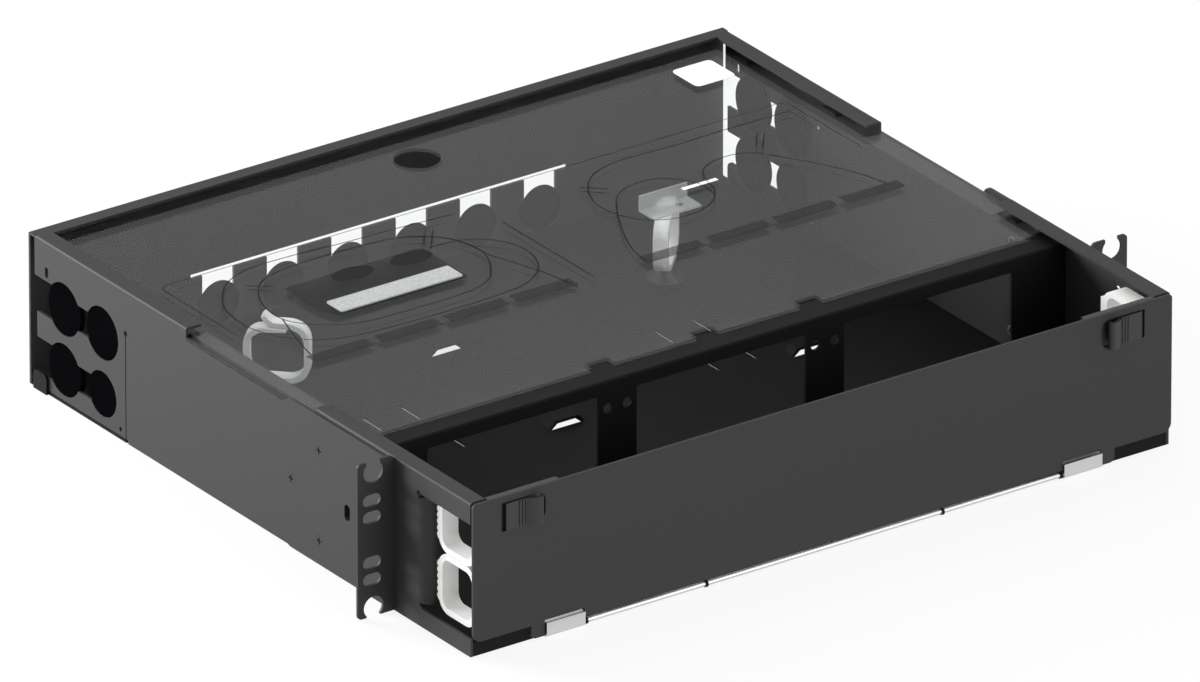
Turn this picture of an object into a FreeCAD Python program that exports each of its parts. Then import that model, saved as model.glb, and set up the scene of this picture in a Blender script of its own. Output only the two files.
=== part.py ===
import FreeCAD, Part
import math
import operator
import os
from types import SimpleNamespace

import Sketcher
from FreeCAD import Placement, Rotation, Vector

# A two-unit rack fibre patch panel: an open sheet-steel chassis with a fold-down front door,
# a sliding clear cover, cable rings and plugged cable ports.
# Sketches are drawn from the chassis corner: across from the left wall's outer face, back from
# the chassis front edge and up from the underside of the floor.

doc = FreeCAD.newDocument("fibre_panel")

# Driving dimensions in millimetres
DIMENSIONS = {
    # Chassis
    "rack_width": 482.6,
    "ear_reach": 22.3,
    "depth": 398.0,
    "height": 86.5,
    "gauge": 1.5,
    "bend_radius": 1.2,
    "overcut": 1.0,
    # Side walls
    "wall_rear_gap": 5.5,
    "tongue_setback": 2.0,
    "tongue_corner": 1.0,
    "flange_width": 9.5,
    "rear_flange_length": 138.0,
    "front_flange_length": 138.0,
    "front_flange_start": 0.6,
    "middle_drop": 5.5,
    "window_length": 46.0,
    "window_bottom": 10.0,
    "window_top": 74.5,
    "window_corner": 5.0,
    "window_post_width": 10.5,
    "window_post_roll": 7.5,
    "window_post_margin": 3.0,
    "port_panel_length": 88.7,
    "port_panel_bottom": 2.0,
    "slit_width": 0.7,
    "slit_top": 62.0,
    "relief_diameter": 3.0,
    "relief_rise": 0.2,
    "tie_slot_width": 3.0,
    "tie_slot_length": 6.0,
    "tie_slot_inset": 16.4,
    "tie_slot_level": 69.0,
    "pilot_diameter": 2.5,
    "pilot_inset": 83.4,
    "pilot_level": 5.9,
    # Side cable ports
    "port_diameter": 29.5,
    "port_small_diameter": 25.5,
    "port_outer_inset": 32.0,
    "port_inner_inset": 67.0,
    "port_low_level": 19.6,
    "port_row_pitch": 34.5,
    "port_channel_height": 20.0,
    "port_neck_height": 14.6,
    "plug_clearance": 0.1,
    "plug_lip": 0.9,
    "plug_lip_thickness": 1.2,
    "plug_recess": 0.6,
    # Rear wall
    "rear_seam_level": 35.0,
    "rear_gap_height": 2.4,
    "rear_gap_length": 238.0,
    "rear_port_pitch": 40.7,
    "rear_port_diameter": 23.0,
    "rear_port_level": 14.7,
    "rear_neck_width": 20.0,
    "rear_flange_width": 9.0,
    # Bulkhead with the module openings
    "bulkhead_setback": 89.0,
    "bulkhead_flange": 18.0,
    "module_width": 106.3,
    "module_pitch": 130.3,
    "module_bottom": 5.0,
    "module_top": 73.0,
    "module_corner": 1.5,
    "plunger_diameter": 5.5,
    "plunger_pitch": 12.1,
    "plunger_level": 65.2,
    # Clear cover
    "cover_thickness": 2.0,
    "cover_level": 81.0,
    "cover_front": 101.0,
    "cover_side_clearance": 0.6,
    "cover_rear_clearance": 1.0,
    "cover_rest_gap": 0.3,
    "cover_corner": 2.0,
    "finger_hole_diameter": 25.0,
    "finger_hole_inset": 36.0,
    "notch_width": 13.8,
    "notch_depth": 7.0,
    "notch_pitch": 65.4,
    "ledge_length": 12.0,
    "ledge_reach": 6.0,
    "ledge_rear_inset": 33.0,
    "label_length": 25.0,
    "label_height": 24.0,
    "label_thickness": 0.3,
    "label_corner": 3.0,
    "label_side_inset": 37.0,
    "label_inset": 36.0,
    "strip_length": 76.0,
    "strip_height": 14.0,
    "strip_across": 118.3,
    "strip_inset": 160.7,
    "strip_thickness": 0.8,
    "hanger_side_inset": 134.0,
    "hanger_inset": 136.0,
    "hanger_length": 14.0,
    "hanger_width": 30.0,
    "hanger_drop": 9.0,
    "hanger_gauge": 1.2,
    "hanger_hole": 4.0,
    # Rack brackets
    "ear_slot_edge": 8.75,
    "ear_plane": 68.0,
    "ear_height": 87.4,
    "ear_slot_length": 11.0,
    "ear_slot_height": 6.8,
    "ear_slot_near": 12.7,
    "ear_slot_far": 22.25,
    "ear_notch_level": 38.1,
    "ear_notch_diameter": 12.0,
    "ear_notch_across": 12.6,
    "ear_mouth_width": 8.5,
    "ear_tip_radius": 2.4,
    "leaf_length": 96.0,
    "leaf_bottom": 0.5,
    "leaf_top": 84.5,
    "leaf_corner": 6.0,
    "ear_screw_back": 64.7,
    "ear_screw_far": 89.9,
    "ear_screw_high": 64.9,
    "ear_screw_mid": 39.6,
    "ear_screw_low": 13.9,
    "ear_oval_back": 39.5,
    "ear_oval_width": 5.0,
    "ear_oval_length": 9.0,
    "screw_head": 6.4,
    "screw_shank": 3.9,
    "screw_reach": 3.2,
    "screw_clearance": 0.1,
    "recess_length": 4.0,
    "recess_width": 0.9,
    "recess_depth": 0.8,
    "nut_across_flats": 7.0,
    "nut_thickness": 2.4,
    # Front door and its hinge
    "door_gap": 0.8,
    "door_side_clearance": 0.2,
    "door_top_clearance": 0.3,
    "door_end_bottom": 8.5,
    "door_bottom": 4.5,
    "door_corner": 5.0,
    "door_leg_start": 36.0,
    "door_leg_bottom": 0.9,
    "door_leg_radius": 3.0,
    "hinge_level": 2.2,
    "rod_diameter": 2.8,
    "rod_clearance": 0.05,
    "rod_end_clearance": 0.3,
    "clip_start": 44.8,
    "clip_width": 24.0,
    "clip_gauge": 0.7,
    "clip_round": 0.9,
    "clip_top": 8.3,
    "clip_slot_height": 2.0,
    "clip_side_clearance": 0.3,
    "knuckle_radius": 1.9,
    "knuckle_gap": 0.6,
    "knuckle_neck": 1.15,
    "knuckle_round": 1.8,
    "knuckle_notch": 5.0,
    "lip_height": 8.0,
    "lip_length": 34.0,
    # Door latches
    "latch_window_start": 17.6,
    "latch_window_length": 27.4,
    "latch_window_corner": 1.0,
    "latch_window_round": 5.0,
    "latch_window_bottom": 66.5,
    "latch_window_height": 16.0,
    "latch_side_gap": 2.4,
    "latch_end_clearance": 0.4,
    "latch_length": 22.0,
    "latch_stem_length": 14.0,
    "latch_flat_length": 12.5,
    "latch_flat_proud": 1.0,
    "latch_rise_radius": 14.0,
    "latch_nose_length": 2.5,
    "latch_nose_depth": 3.2,
    "latch_proud": 5.0,
    "latch_wall": 1.6,
    "latch_foot_overlap": 2.5,
    "latch_foot_reach": 8.0,
    "latch_travel": 6.0,
    "latch_foot_thickness": 1.5,
    "latch_running_gap": 0.2,
    "latch_rib_pitch": 1.8,
    "latch_rib_proud": 0.4,
    "latch_rib_width": 0.8,
    "hook_back": 3.3,
    "hook_thickness": 1.5,
    "hook_height": 5.0,
    "hook_level": 76.0,
    "hook_clearance": 0.3,
    "catch_reach": 4.5,
    "catch_front": 1.3,
    "catch_margin": 0.5,
    "housing_wall": 1.5,
    # Front cable rings
    "ring_height": 34.0,
    "ring_length": 33.0,
    "ring_depth": 10.0,
    "ring_band": 3.4,
    "ring_corner": 9.0,
    "ring_front": 3.6,
    "ring_low": 11.1,
    "ring_side": 5.8,
    "ring_foot_height": 22.0,
    "ring_tooth_pitch": 3.6,
    "ring_tooth_depth": 1.4,
    "ring_split": 1.2,
    "ring_seat_clearance": 0.3,
    "ring_stack_gap": 0.3,
    # Rear fibre rings
    "loop_width": 36.0,
    "loop_height": 47.0,
    "loop_depth": 10.0,
    "loop_band": 3.5,
    "loop_corner": 10.0,
    "loop_foot_diameter": 25.0,
    "loop_foot_thickness": 2.0,
    "loop_side_inset": 92.0,
    "loop_back_inset": 83.0,
    "loop_split": 2.0,
    "loop_split_side": 7.0,
    "finger_root": 4.0,
    "finger_reach": 6.0,
    "finger_rise": 4.0,
    "finger_thickness": 1.6,
    # Floor details
    "tab_length": 12.0,
    "tab_height": 11.0,
    "tab_corner": 3.0,
    "lance_length": 23.0,
    "lance_width": 8.0,
    "lance_rise": 4.0,
    "lance_gap": 0.5,
    "lance_back_inset": 92.0,
    "lance_front_inset": 200.0,
    "guide_slot_length": 60.0,
    "guide_slot_width": 2.0,
    "guide_slot_inset": 135.0,
    "guide_inner": 80.0,
    "guide_outer": 104.0,
}

sheet = doc.addObject("Spreadsheet::Sheet", "Sizes")
for row, (alias, number) in enumerate(DIMENSIONS.items(), start=1):
    sheet.set(f"A{row}", alias)
    sheet.set(f"B{row}", str(number))
    sheet.setAlias(f"B{row}", alias)
doc.recompute()


# Lengths that know their expression

OPERATIONS = {
    "+": operator.add,
    "-": operator.sub,
    "*": operator.mul,
    "/": operator.truediv,
}


class Length:
    """A number together with the expression that ties it to the sheet."""

    def __init__(self, text, number):
        self.text = text
        self.number = number

    def __add__(self, other):
        return combine(self, "+", other)

    def __radd__(self, other):
        return combine(other, "+", self)

    def __sub__(self, other):
        return combine(self, "-", other)

    def __rsub__(self, other):
        return combine(other, "-", self)

    def __mul__(self, other):
        return combine(self, "*", other)

    def __rmul__(self, other):
        return combine(other, "*", self)

    def __truediv__(self, other):
        return combine(self, "/", other)

    def __neg__(self):
        return combine(0, "-", self)


def length(item):
    """Takes a plain number or a Length and gives a Length."""
    if isinstance(item, Length):
        return item
    return Length(repr(float(item)), float(item))


def combine(first, sign, second):
    """Joins two lengths by one arithmetic sign."""
    first = length(first)
    second = length(second)
    number = OPERATIONS[sign](first.number, second.number)
    return Length(f"({first.text} {sign} {second.text})", number)


s = SimpleNamespace()
for alias in DIMENSIONS:
    setattr(s, alias, Length(f"Sizes.{alias}", float(sheet.get(alias))))
s.width = s.rack_width - 2 * s.ear_reach

# The part's origin lies under the middle of the overall box, from the latch crowns to the rear wall
front_stand = s.door_gap + s.gauge + s.latch_proud
CORNER = (-s.width / 2, (front_stand - s.depth) / 2, length(0))
CORNER_X, CORNER_Y, CORNER_Z = CORNER


# Drawing in sketches

def bind(thing, path, item):
    """Ties one property of an object to the sheet."""
    thing.setExpression(path, length(item).text)


def new_body(label, x=0, y=0, z=0):
    """Makes a body whose origin lies at a place measured from the chassis corner."""
    body = doc.addObject("PartDesign::Body", label)
    body.Label = label
    bind(body, "Placement.Base.x", CORNER_X + x)
    bind(body, "Placement.Base.y", CORNER_Y + y)
    bind(body, "Placement.Base.z", CORNER_Z + z)
    return body


def new_sketch(body, plane, name, at):
    """Attaches a sketch to one of the body's own planes, moved to a distance along its axis."""
    drawing = body.newObject("Sketcher::SketchObject", name)
    support = next(item for item in body.Origin.OriginFeatures if item.Role == plane)
    drawing.AttachmentSupport = [(support, "")]
    drawing.MapMode = "FlatFace"
    offset = -length(at) if plane == "XZ_Plane" else length(at)
    bind(drawing, "AttachmentOffset.Base.z", offset)
    return drawing


def pin(drawing, kind, geometry, point, item):
    """Fixes one coordinate of a point, or a radius or diameter, by an expression."""
    item = length(item)
    if kind in ("Radius", "Diameter"):
        constraint = Sketcher.Constraint(kind, geometry, item.number)
    else:
        constraint = Sketcher.Constraint(kind, -1, 1, geometry, point, item.number)
    index = drawing.addConstraint(constraint)
    bind(drawing, f"Constraints[{index}]", item)


def draw_corner(drawing, before, after, corner, radius, heading_in, heading_out):
    """Joins two straight edges by a tangent arc."""
    centre = corner - heading_in * radius.number + heading_out * radius.number
    start = corner - heading_in * radius.number - centre
    end = corner + heading_out * radius.number - centre
    turns_left = heading_in.cross(heading_out).z > 0
    first, last = (start, end) if turns_left else (end, start)
    angle_first = math.atan2(first.y, first.x)
    angle_last = math.atan2(last.y, last.x)
    circle = Part.Circle(centre, Vector(0, 0, 1), radius.number)
    arc = drawing.addGeometry(Part.ArcOfCircle(circle, angle_first, angle_last), False)
    near, far = (1, 2) if turns_left else (2, 1)
    drawing.addConstraint(Sketcher.Constraint("Tangent", before, 2, arc, near))
    drawing.addConstraint(Sketcher.Constraint("Tangent", arc, far, after, 1))
    pin(drawing, "Radius", arc, 0, radius)


def outline(drawing, corners):
    """Draws a closed outline of level and upright edges.

    A corner is (across, up) when it is sharp, or (across, up, radius) when it is rounded.
    """
    spots = [Vector(length(c[0]).number, length(c[1]).number, 0) for c in corners]
    radii = [length(c[2]) if len(c) > 2 else None for c in corners]
    trims = [radius.number if radius else 0.0 for radius in radii]
    count = len(corners)
    headings = []
    edges = []
    for index, spot in enumerate(spots):
        following = (index + 1) % count
        heading = (spots[following] - spot).normalize()
        headings.append(heading)
        start = spot + heading * trims[index]
        end = spots[following] - heading * trims[following]
        edges.append(drawing.addGeometry(Part.LineSegment(start, end), False))
    for index, edge in enumerate(edges):
        across, up = corners[index][:2]
        level = abs(headings[index].y) < 0.5
        drawing.addConstraint(Sketcher.Constraint("Horizontal" if level else "Vertical", edge))
        if level:
            pin(drawing, "DistanceY", edge, 1, up)
        else:
            pin(drawing, "DistanceX", edge, 1, across)
    for index, edge in enumerate(edges):
        before = edges[index - 1]
        if radii[index] is None:
            drawing.addConstraint(Sketcher.Constraint("Coincident", before, 2, edge, 1))
        else:
            draw_corner(drawing, before, edge, spots[index], radii[index],
                        headings[index - 1], headings[index])


def rectangle(drawing, across, up, radius=None):
    """Draws a rectangle from (low, high) pairs, with rounded corners where a radius is given."""
    corners = [
        (across[0], up[0]),
        (across[1], up[0]),
        (across[1], up[1]),
        (across[0], up[1]),
    ]
    if radius is not None:
        corners = [corner + (radius,) for corner in corners]
    outline(drawing, corners)


def round_hole(drawing, across, up, diameter):
    """Draws a circle."""
    centre = Vector(length(across).number, length(up).number, 0)
    shape = Part.Circle(centre, Vector(0, 0, 1), length(diameter).number / 2)
    circle = drawing.addGeometry(shape, False)
    pin(drawing, "DistanceX", circle, 3, across)
    pin(drawing, "DistanceY", circle, 3, up)
    pin(drawing, "Diameter", circle, 0, diameter)


def obround(drawing, across, up, long, wide, upright=False):
    """Draws a slot with two round ends, level or upright."""
    across = length(across)
    up = length(up)
    reach = (length(long) - wide) / 2
    radius = length(wide) / 2
    step = Vector(0, reach.number, 0) if upright else Vector(reach.number, 0, 0)
    middle = Vector(across.number, up.number, 0)
    side = Vector(-step.y, step.x, 0).normalize() * radius.number
    tilt = math.pi / 2 if upright else 0.0
    quarter = math.pi / 2
    far_circle = Part.Circle(middle + step, Vector(0, 0, 1), radius.number)
    near_circle = Part.Circle(middle - step, Vector(0, 0, 1), radius.number)
    far = drawing.addGeometry(Part.ArcOfCircle(far_circle, tilt - quarter, tilt + quarter), False)
    near = drawing.addGeometry(
        Part.ArcOfCircle(near_circle, tilt + quarter, tilt + 3 * quarter), False)
    left = drawing.addGeometry(Part.LineSegment(middle + step + side, middle - step + side), False)
    right = drawing.addGeometry(Part.LineSegment(middle - step - side, middle + step - side), False)
    for arc, end, line, start in ((far, 2, left, 1), (near, 2, right, 1)):
        drawing.addConstraint(Sketcher.Constraint("Tangent", arc, end, line, start))
    for line, end, arc, start in ((left, 2, near, 1), (right, 2, far, 1)):
        drawing.addConstraint(Sketcher.Constraint("Tangent", line, end, arc, start))
    drawing.addConstraint(Sketcher.Constraint("Equal", far, near))
    pin(drawing, "Radius", far, 0, radius)
    for arc, sign in ((far, 1), (near, -1)):
        pin(drawing, "DistanceX", arc, 3, across if upright else across + reach * sign)
        pin(drawing, "DistanceY", arc, 3, up + reach * sign if upright else up)


def freeform(drawing, points):
    """Draws a closed outline through fixed points.

    A point is (across, up), or (across, up, radius) when an arc bulging to the right of the
    heading leads to the next point.
    """
    spots = [Vector(length(p[0]).number, length(p[1]).number, 0) for p in points]
    edges = []
    for index, spot in enumerate(spots):
        target = spots[(index + 1) % len(spots)]
        if len(points[index]) == 2:
            edges.append(drawing.addGeometry(Part.LineSegment(spot, target), False))
            continue
        radius = length(points[index][2]).number
        chord = target - spot
        rise = math.sqrt(max(0.0, radius ** 2 - (chord.Length / 2) ** 2))
        inward = Vector(-chord.y, chord.x, 0).normalize()
        centre = (spot + target) * 0.5 + inward * rise
        first = math.atan2(spot.y - centre.y, spot.x - centre.x)
        last = math.atan2(target.y - centre.y, target.x - centre.x)
        circle = Part.Circle(centre, Vector(0, 0, 1), radius)
        edges.append(drawing.addGeometry(Part.ArcOfCircle(circle, first, last), False))
    for index, edge in enumerate(edges):
        following = edges[(index + 1) % len(edges)]
        drawing.addConstraint(Sketcher.Constraint("Coincident", edge, 2, following, 1))
        pin(drawing, "DistanceX", edge, 1, points[index][0])
        pin(drawing, "DistanceY", edge, 1, points[index][1])
        if len(points[index]) > 2:
            pin(drawing, "Radius", edge, 0, points[index][2])


# Features

def extrude(body, kind, plane, name, at, thick, draw):
    """Adds or cuts the slab that starts at a distance along the plane's axis."""
    drawing = new_sketch(body, plane, name + "_sketch", at)
    draw(drawing)
    doc.recompute()
    feature = body.newObject(kind, name)
    feature.Profile = drawing
    bind(feature, "Length", thick)
    along_normal = plane != "XZ_Plane"
    if kind == "PartDesign::Pad":
        feature.Reversed = not along_normal
    else:
        feature.Reversed = along_normal
    body.Tip = feature
    return feature


def pad(body, plane, name, at, thick, draw):
    """Adds material."""
    return extrude(body, "PartDesign::Pad", plane, name, at, thick, draw)


def pocket(body, plane, name, at, thick, draw):
    """Cuts material away."""
    return extrude(body, "PartDesign::Pocket", plane, name, at, thick, draw)


def round_edges(body, name, radius, chosen):
    """Rounds the tip's edges whose middle point passes a test in the body's own frame."""
    doc.recompute()
    tip = body.Tip
    names = []
    for index, edge in enumerate(tip.Shape.Edges, start=1):
        middle = edge.valueAt((edge.FirstParameter + edge.LastParameter) / 2)
        if chosen(edge, middle):
            names.append(f"Edge{index}")
    fillet = body.newObject("PartDesign::Fillet", name)
    fillet.Base = (tip, names)
    bind(fillet, "Radius", radius)
    body.Tip = fillet
    return fillet


def near(value, item):
    """Tells whether a coordinate lies at a length."""
    return abs(value - length(item).number) < 0.01


def primitive(kind, name, sizes, place, rotation=None):
    """Makes a Part primitive at a place measured from the chassis corner."""
    thing = doc.addObject(kind, name)
    if rotation is not None:
        thing.Placement = Placement(Vector(), rotation)
    for path, item in sizes.items():
        bind(thing, path, item)
    for axis, corner, item in zip("xyz", CORNER, place):
        bind(thing, f"Placement.Base.{axis}", corner + item)
    return thing


def mirrored(source, label):
    """Makes the right-hand twin of a left-hand piece."""
    twin = doc.addObject("Part::Mirroring", label)
    twin.Label = label
    twin.Source = source
    twin.Normal = Vector(1, 0, 0)
    return twin


def grouped(label, members):
    """Joins separate solids into one named sub-part."""
    group = doc.addObject("Part::Compound", label)
    group.Label = label
    group.Links = members
    return group


ALONG_X = Rotation(Vector(0, 1, 0), 90)
ALONG_Y = Rotation(Vector(1, 0, 0), -90)

# Places shared by several pieces
inner_right = s.width - s.gauge
rear_inner = s.depth - s.gauge
wall_rear = s.depth - s.wall_rear_gap
tongue_rear = wall_rear - s.tongue_setback
port_panel_front = s.depth - s.port_panel_length - s.gauge
middle_top = s.height - s.middle_drop
flange_under = s.height - s.gauge
post_front = s.window_length - s.window_post_roll
ledge_top = s.cover_level - s.cover_rest_gap
port_outer = s.depth - s.port_outer_inset
port_inner = s.depth - s.port_inner_inset
port_rows = (s.port_low_level, s.port_low_level + s.port_row_pitch)
door_inner = -s.door_gap
door_outer = -(s.door_gap + s.gauge)
hinge_back = -(s.door_gap + s.gauge / 2)
clip_end = s.clip_start + s.clip_width
sub_parts = []
LEDGE_COUNT = 4
RIB_COUNT = 3
TOOTH_COUNT = 6


# Side walls

def wall_screw_places():
    """Gives the (back, up) places of one bracket's three screws."""
    return (
        (s.ear_plane + s.ear_screw_back, s.ear_screw_high),
        (s.ear_plane + s.ear_screw_far, s.ear_screw_mid),
        (s.ear_plane + s.ear_screw_back, s.ear_screw_low),
    )


def draw_wall(drawing):
    channel_top = port_rows[1] + s.port_channel_height / 2
    outline(drawing, [
        (0, 0),
        (port_panel_front, 0),
        (port_panel_front, s.port_panel_bottom),
        (tongue_rear, s.port_panel_bottom, s.tongue_corner),
        (tongue_rear, channel_top),
        (wall_rear, channel_top),
        (wall_rear, s.height),
        (s.depth - s.wall_rear_gap - s.rear_flange_length, s.height),
        (s.depth - s.wall_rear_gap - s.rear_flange_length, middle_top),
        (s.front_flange_length, middle_top),
        (s.front_flange_length, s.height),
        (0, s.height),
        (0, s.window_top),
        (s.window_length, s.window_top),
        (s.window_length, s.window_bottom, s.window_corner),
        (0, s.window_bottom),
    ])


def draw_port_circles(drawing):
    for level in port_rows:
        round_hole(drawing, port_outer, level, s.port_diameter)
    round_hole(drawing, port_inner, port_rows[1], s.port_diameter)
    round_hole(drawing, port_inner, port_rows[0], s.port_small_diameter)


def draw_port_channels(drawing):
    for level in port_rows:
        rectangle(drawing, (port_outer, s.depth),
                  (level - s.port_channel_height / 2, level + s.port_channel_height / 2))


def draw_port_necks(drawing):
    for level in port_rows:
        rectangle(drawing, (port_inner, port_outer),
                  (level - s.port_neck_height / 2, level + s.port_neck_height / 2))


def draw_slit(drawing):
    slit_at = port_panel_front + s.gauge
    rectangle(drawing, (slit_at, slit_at + s.slit_width), (-s.overcut, s.slit_top))


def draw_wall_holes(drawing):
    round_hole(drawing, port_panel_front + s.gauge + s.slit_width / 2, s.slit_top,
               s.relief_diameter)
    round_hole(drawing, s.window_length, s.window_top + s.relief_rise, s.relief_diameter)
    round_hole(drawing, s.depth - s.pilot_inset, s.pilot_level, s.pilot_diameter)
    for back, up in wall_screw_places():
        round_hole(drawing, back, up, s.screw_shank + 2 * s.screw_clearance)
    obround(drawing, s.depth - s.tie_slot_inset, s.tie_slot_level,
            s.tie_slot_length, s.tie_slot_width, upright=True)
    obround(drawing, s.ear_plane + s.ear_oval_back, s.ear_screw_mid,
            s.ear_oval_length, s.ear_oval_width, upright=True)


def draw_wall_flanges(drawing):
    rectangle(drawing, (0, s.flange_width), (s.front_flange_start, s.front_flange_length))
    rectangle(drawing, (0, s.flange_width), (wall_rear - s.rear_flange_length, wall_rear))


def draw_window_post(drawing):
    front = s.window_length - s.window_post_roll
    freeform(drawing, [
        (0, s.window_length, s.window_post_roll),
        (s.window_post_roll, front),
        (s.gauge + s.window_post_width, front),
        (s.gauge + s.window_post_width, front + s.gauge),
        (s.window_post_roll, front + s.gauge),
        (s.gauge, s.window_length),
        (s.gauge, s.window_length + s.gauge),
        (0, s.window_length + s.gauge),
    ])


def draw_cover_ledges(drawing):
    first = s.cover_front + 2 * s.ledge_length
    last = s.depth - s.ledge_rear_inset
    for step in range(LEDGE_COUNT):
        start = first + (last - first) * step / (LEDGE_COUNT - 1)
        rectangle(drawing, (s.gauge / 2, s.gauge + s.ledge_reach), (start, start + s.ledge_length))


def draw_latch_catch(drawing):
    rectangle(drawing, (s.gauge / 2, s.gauge + s.catch_reach),
              (s.hook_level - s.catch_margin, s.hook_level + s.hook_height + s.catch_margin))


def make_side_wall():
    body = new_body("side_wall_left")
    pad(body, "YZ_Plane", "wall_sheet", 0, s.gauge, draw_wall)
    pad(body, "XY_Plane", "wall_flanges", flange_under, s.gauge, draw_wall_flanges)
    round_edges(body, "wall_bends", s.bend_radius,
                lambda edge, middle: near(middle.x, 0) and near(middle.z, s.height)
                and edge.Length > 50)
    post_bottom = s.window_bottom + s.window_post_margin
    post_top = s.window_top - s.window_post_margin
    pad(body, "XY_Plane", "window_post", post_bottom, post_top - post_bottom, draw_window_post)
    pad(body, "XY_Plane", "cover_ledges", ledge_top - s.gauge, s.gauge, draw_cover_ledges)
    pad(body, "XZ_Plane", "latch_catch", s.catch_front, s.gauge, draw_latch_catch)
    pocket(body, "YZ_Plane", "port_circles", 0, s.gauge, draw_port_circles)
    pocket(body, "YZ_Plane", "port_channels", 0, s.gauge, draw_port_channels)
    pocket(body, "YZ_Plane", "port_necks", 0, s.gauge, draw_port_necks)
    pocket(body, "YZ_Plane", "panel_slit", 0, s.gauge, draw_slit)
    pocket(body, "YZ_Plane", "wall_holes", 0, s.gauge, draw_wall_holes)
    return body


side_wall = make_side_wall()
sub_parts += [side_wall, mirrored(side_wall, "side_wall_right")]


# Floor

def knuckle_places():
    """Gives the start of each hinge knuckle across the floor's front edge."""
    inboard = clip_end + s.knuckle_gap
    inner = inboard + (s.width / 2 - inboard) / 2
    lefts = (inboard, inner)
    return [*lefts, *(s.width - s.gauge - place for place in lefts)]


def draw_floor(drawing):
    notch_start = s.clip_start - s.knuckle_gap
    notch_end = clip_end + s.knuckle_gap
    tab_front = s.depth - s.wall_rear_gap - s.tab_length
    outline(drawing, [
        (s.gauge, 0),
        (notch_start, 0),
        (notch_start, s.knuckle_notch),
        (notch_end, s.knuckle_notch),
        (notch_end, 0),
        (s.width - notch_end, 0),
        (s.width - notch_end, s.knuckle_notch),
        (s.width - notch_start, s.knuckle_notch),
        (s.width - notch_start, 0),
        (inner_right, 0),
        (inner_right, port_panel_front + s.gauge),
        (s.width, port_panel_front + s.gauge),
        (s.width, tab_front),
        (s.width + s.gauge, tab_front),
        (s.width + s.gauge, wall_rear),
        (s.width, wall_rear),
        (s.width, rear_inner),
        (0, rear_inner),
        (0, wall_rear),
        (-s.gauge, wall_rear),
        (-s.gauge, tab_front),
        (0, tab_front),
        (0, port_panel_front + s.gauge),
        (s.gauge, port_panel_front + s.gauge),
    ])


def draw_floor_tab(drawing):
    tab_front = s.depth - s.wall_rear_gap - s.tab_length
    outline(drawing, [
        (tab_front, 0),
        (wall_rear, 0),
        (wall_rear, s.tab_height, s.tab_corner),
        (tab_front, s.tab_height, s.tab_corner),
    ])


def draw_front_lips(drawing):
    rectangle(drawing, (s.gauge, s.lip_length), (0, s.lip_height))
    rectangle(drawing, (s.width - s.lip_length, inner_right), (0, s.lip_height))


def draw_knuckle(drawing):
    neck_top = s.hinge_level + s.knuckle_neck
    foot = s.hinge_level - s.knuckle_radius
    front = hinge_back - s.knuckle_radius
    outline(drawing, [
        (front, foot, s.knuckle_round),
        (s.knuckle_radius * 2, foot),
        (s.knuckle_radius * 2, neck_top),
        (hinge_back + s.knuckle_neck, neck_top),
        (hinge_back + s.knuckle_neck, s.hinge_level + s.knuckle_radius),
        (front, s.hinge_level + s.knuckle_radius, s.knuckle_round),
    ])


def draw_rod_bore(drawing):
    round_hole(drawing, hinge_back, s.hinge_level, s.rod_diameter + 2 * s.rod_clearance)


def lance_places():
    """Gives the (across, back) middle of each cable-tie bridge in the floor."""
    middle = s.width / 2
    return (
        (middle - s.lance_length, s.depth - s.lance_front_inset),
        (middle - s.lance_length, s.depth - s.lance_back_inset),
        (middle + s.module_pitch, s.depth - s.lance_front_inset),
        (middle - s.module_pitch, s.bulkhead_setback / 2),
    )


def lance_profile(across):
    """Gives the drawing of one arched bridge, seen from the front."""
    start = across - s.lance_length / 2
    end = across + s.lance_length / 2
    foot = s.lance_rise

    def draw(drawing):
        freeform(drawing, [
            (start, s.gauge / 2),
            (start + s.gauge, s.gauge / 2),
            (start + foot + s.gauge, s.lance_rise),
            (end - foot - s.gauge, s.lance_rise),
            (end - s.gauge, s.gauge / 2),
            (end, s.gauge / 2),
            (end - foot, s.lance_rise + s.gauge),
            (start + foot, s.lance_rise + s.gauge),
        ])

    return draw


def draw_lance_gaps(drawing):
    for across, back in lance_places():
        rectangle(drawing,
                  (across - s.lance_length / 2 + s.gauge, across + s.lance_length / 2 - s.gauge),
                  (back - s.lance_width / 2 - s.lance_gap, back + s.lance_width / 2 + s.lance_gap))


def draw_guide_slots(drawing):
    middle = s.width / 2
    back = s.depth - s.guide_slot_inset - s.guide_slot_length / 2
    for offset in (s.guide_inner, s.guide_outer):
        for across in (middle - offset, middle + offset):
            obround(drawing, across, back, s.guide_slot_length, s.guide_slot_width, upright=True)


def make_floor():
    body = new_body("chassis_floor")
    pad(body, "XY_Plane", "floor_sheet", 0, s.gauge, draw_floor)
    pad(body, "YZ_Plane", "left_tab", -s.gauge, s.gauge, draw_floor_tab)
    pad(body, "YZ_Plane", "right_tab", s.width, s.gauge, draw_floor_tab)
    pad(body, "XZ_Plane", "front_lips", 0, s.gauge, draw_front_lips)
    for index, place in enumerate(knuckle_places()):
        pad(body, "YZ_Plane", f"knuckle_{index}", place, s.gauge, draw_knuckle)
    first_knuckle = knuckle_places()[0]
    pocket(body, "YZ_Plane", "rod_bore", first_knuckle, s.width - first_knuckle * 2, draw_rod_bore)
    pocket(body, "XY_Plane", "lance_gaps", 0, s.gauge, draw_lance_gaps)
    for index, (across, back) in enumerate(lance_places()):
        pad(body, "XZ_Plane", f"lance_{index}", back - s.lance_width / 2, s.lance_width,
            lance_profile(across))
    pocket(body, "XY_Plane", "guide_slots", 0, s.gauge, draw_guide_slots)
    return body


sub_parts.append(make_floor())


# Rear wall, an upper and a lower sheet with the cable gap between them

def rear_port_places():
    """Gives the place across of each of the six rear ports."""
    return [s.width / 2 + s.rear_port_pitch * (step - 2.5) for step in range(6)]


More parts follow.
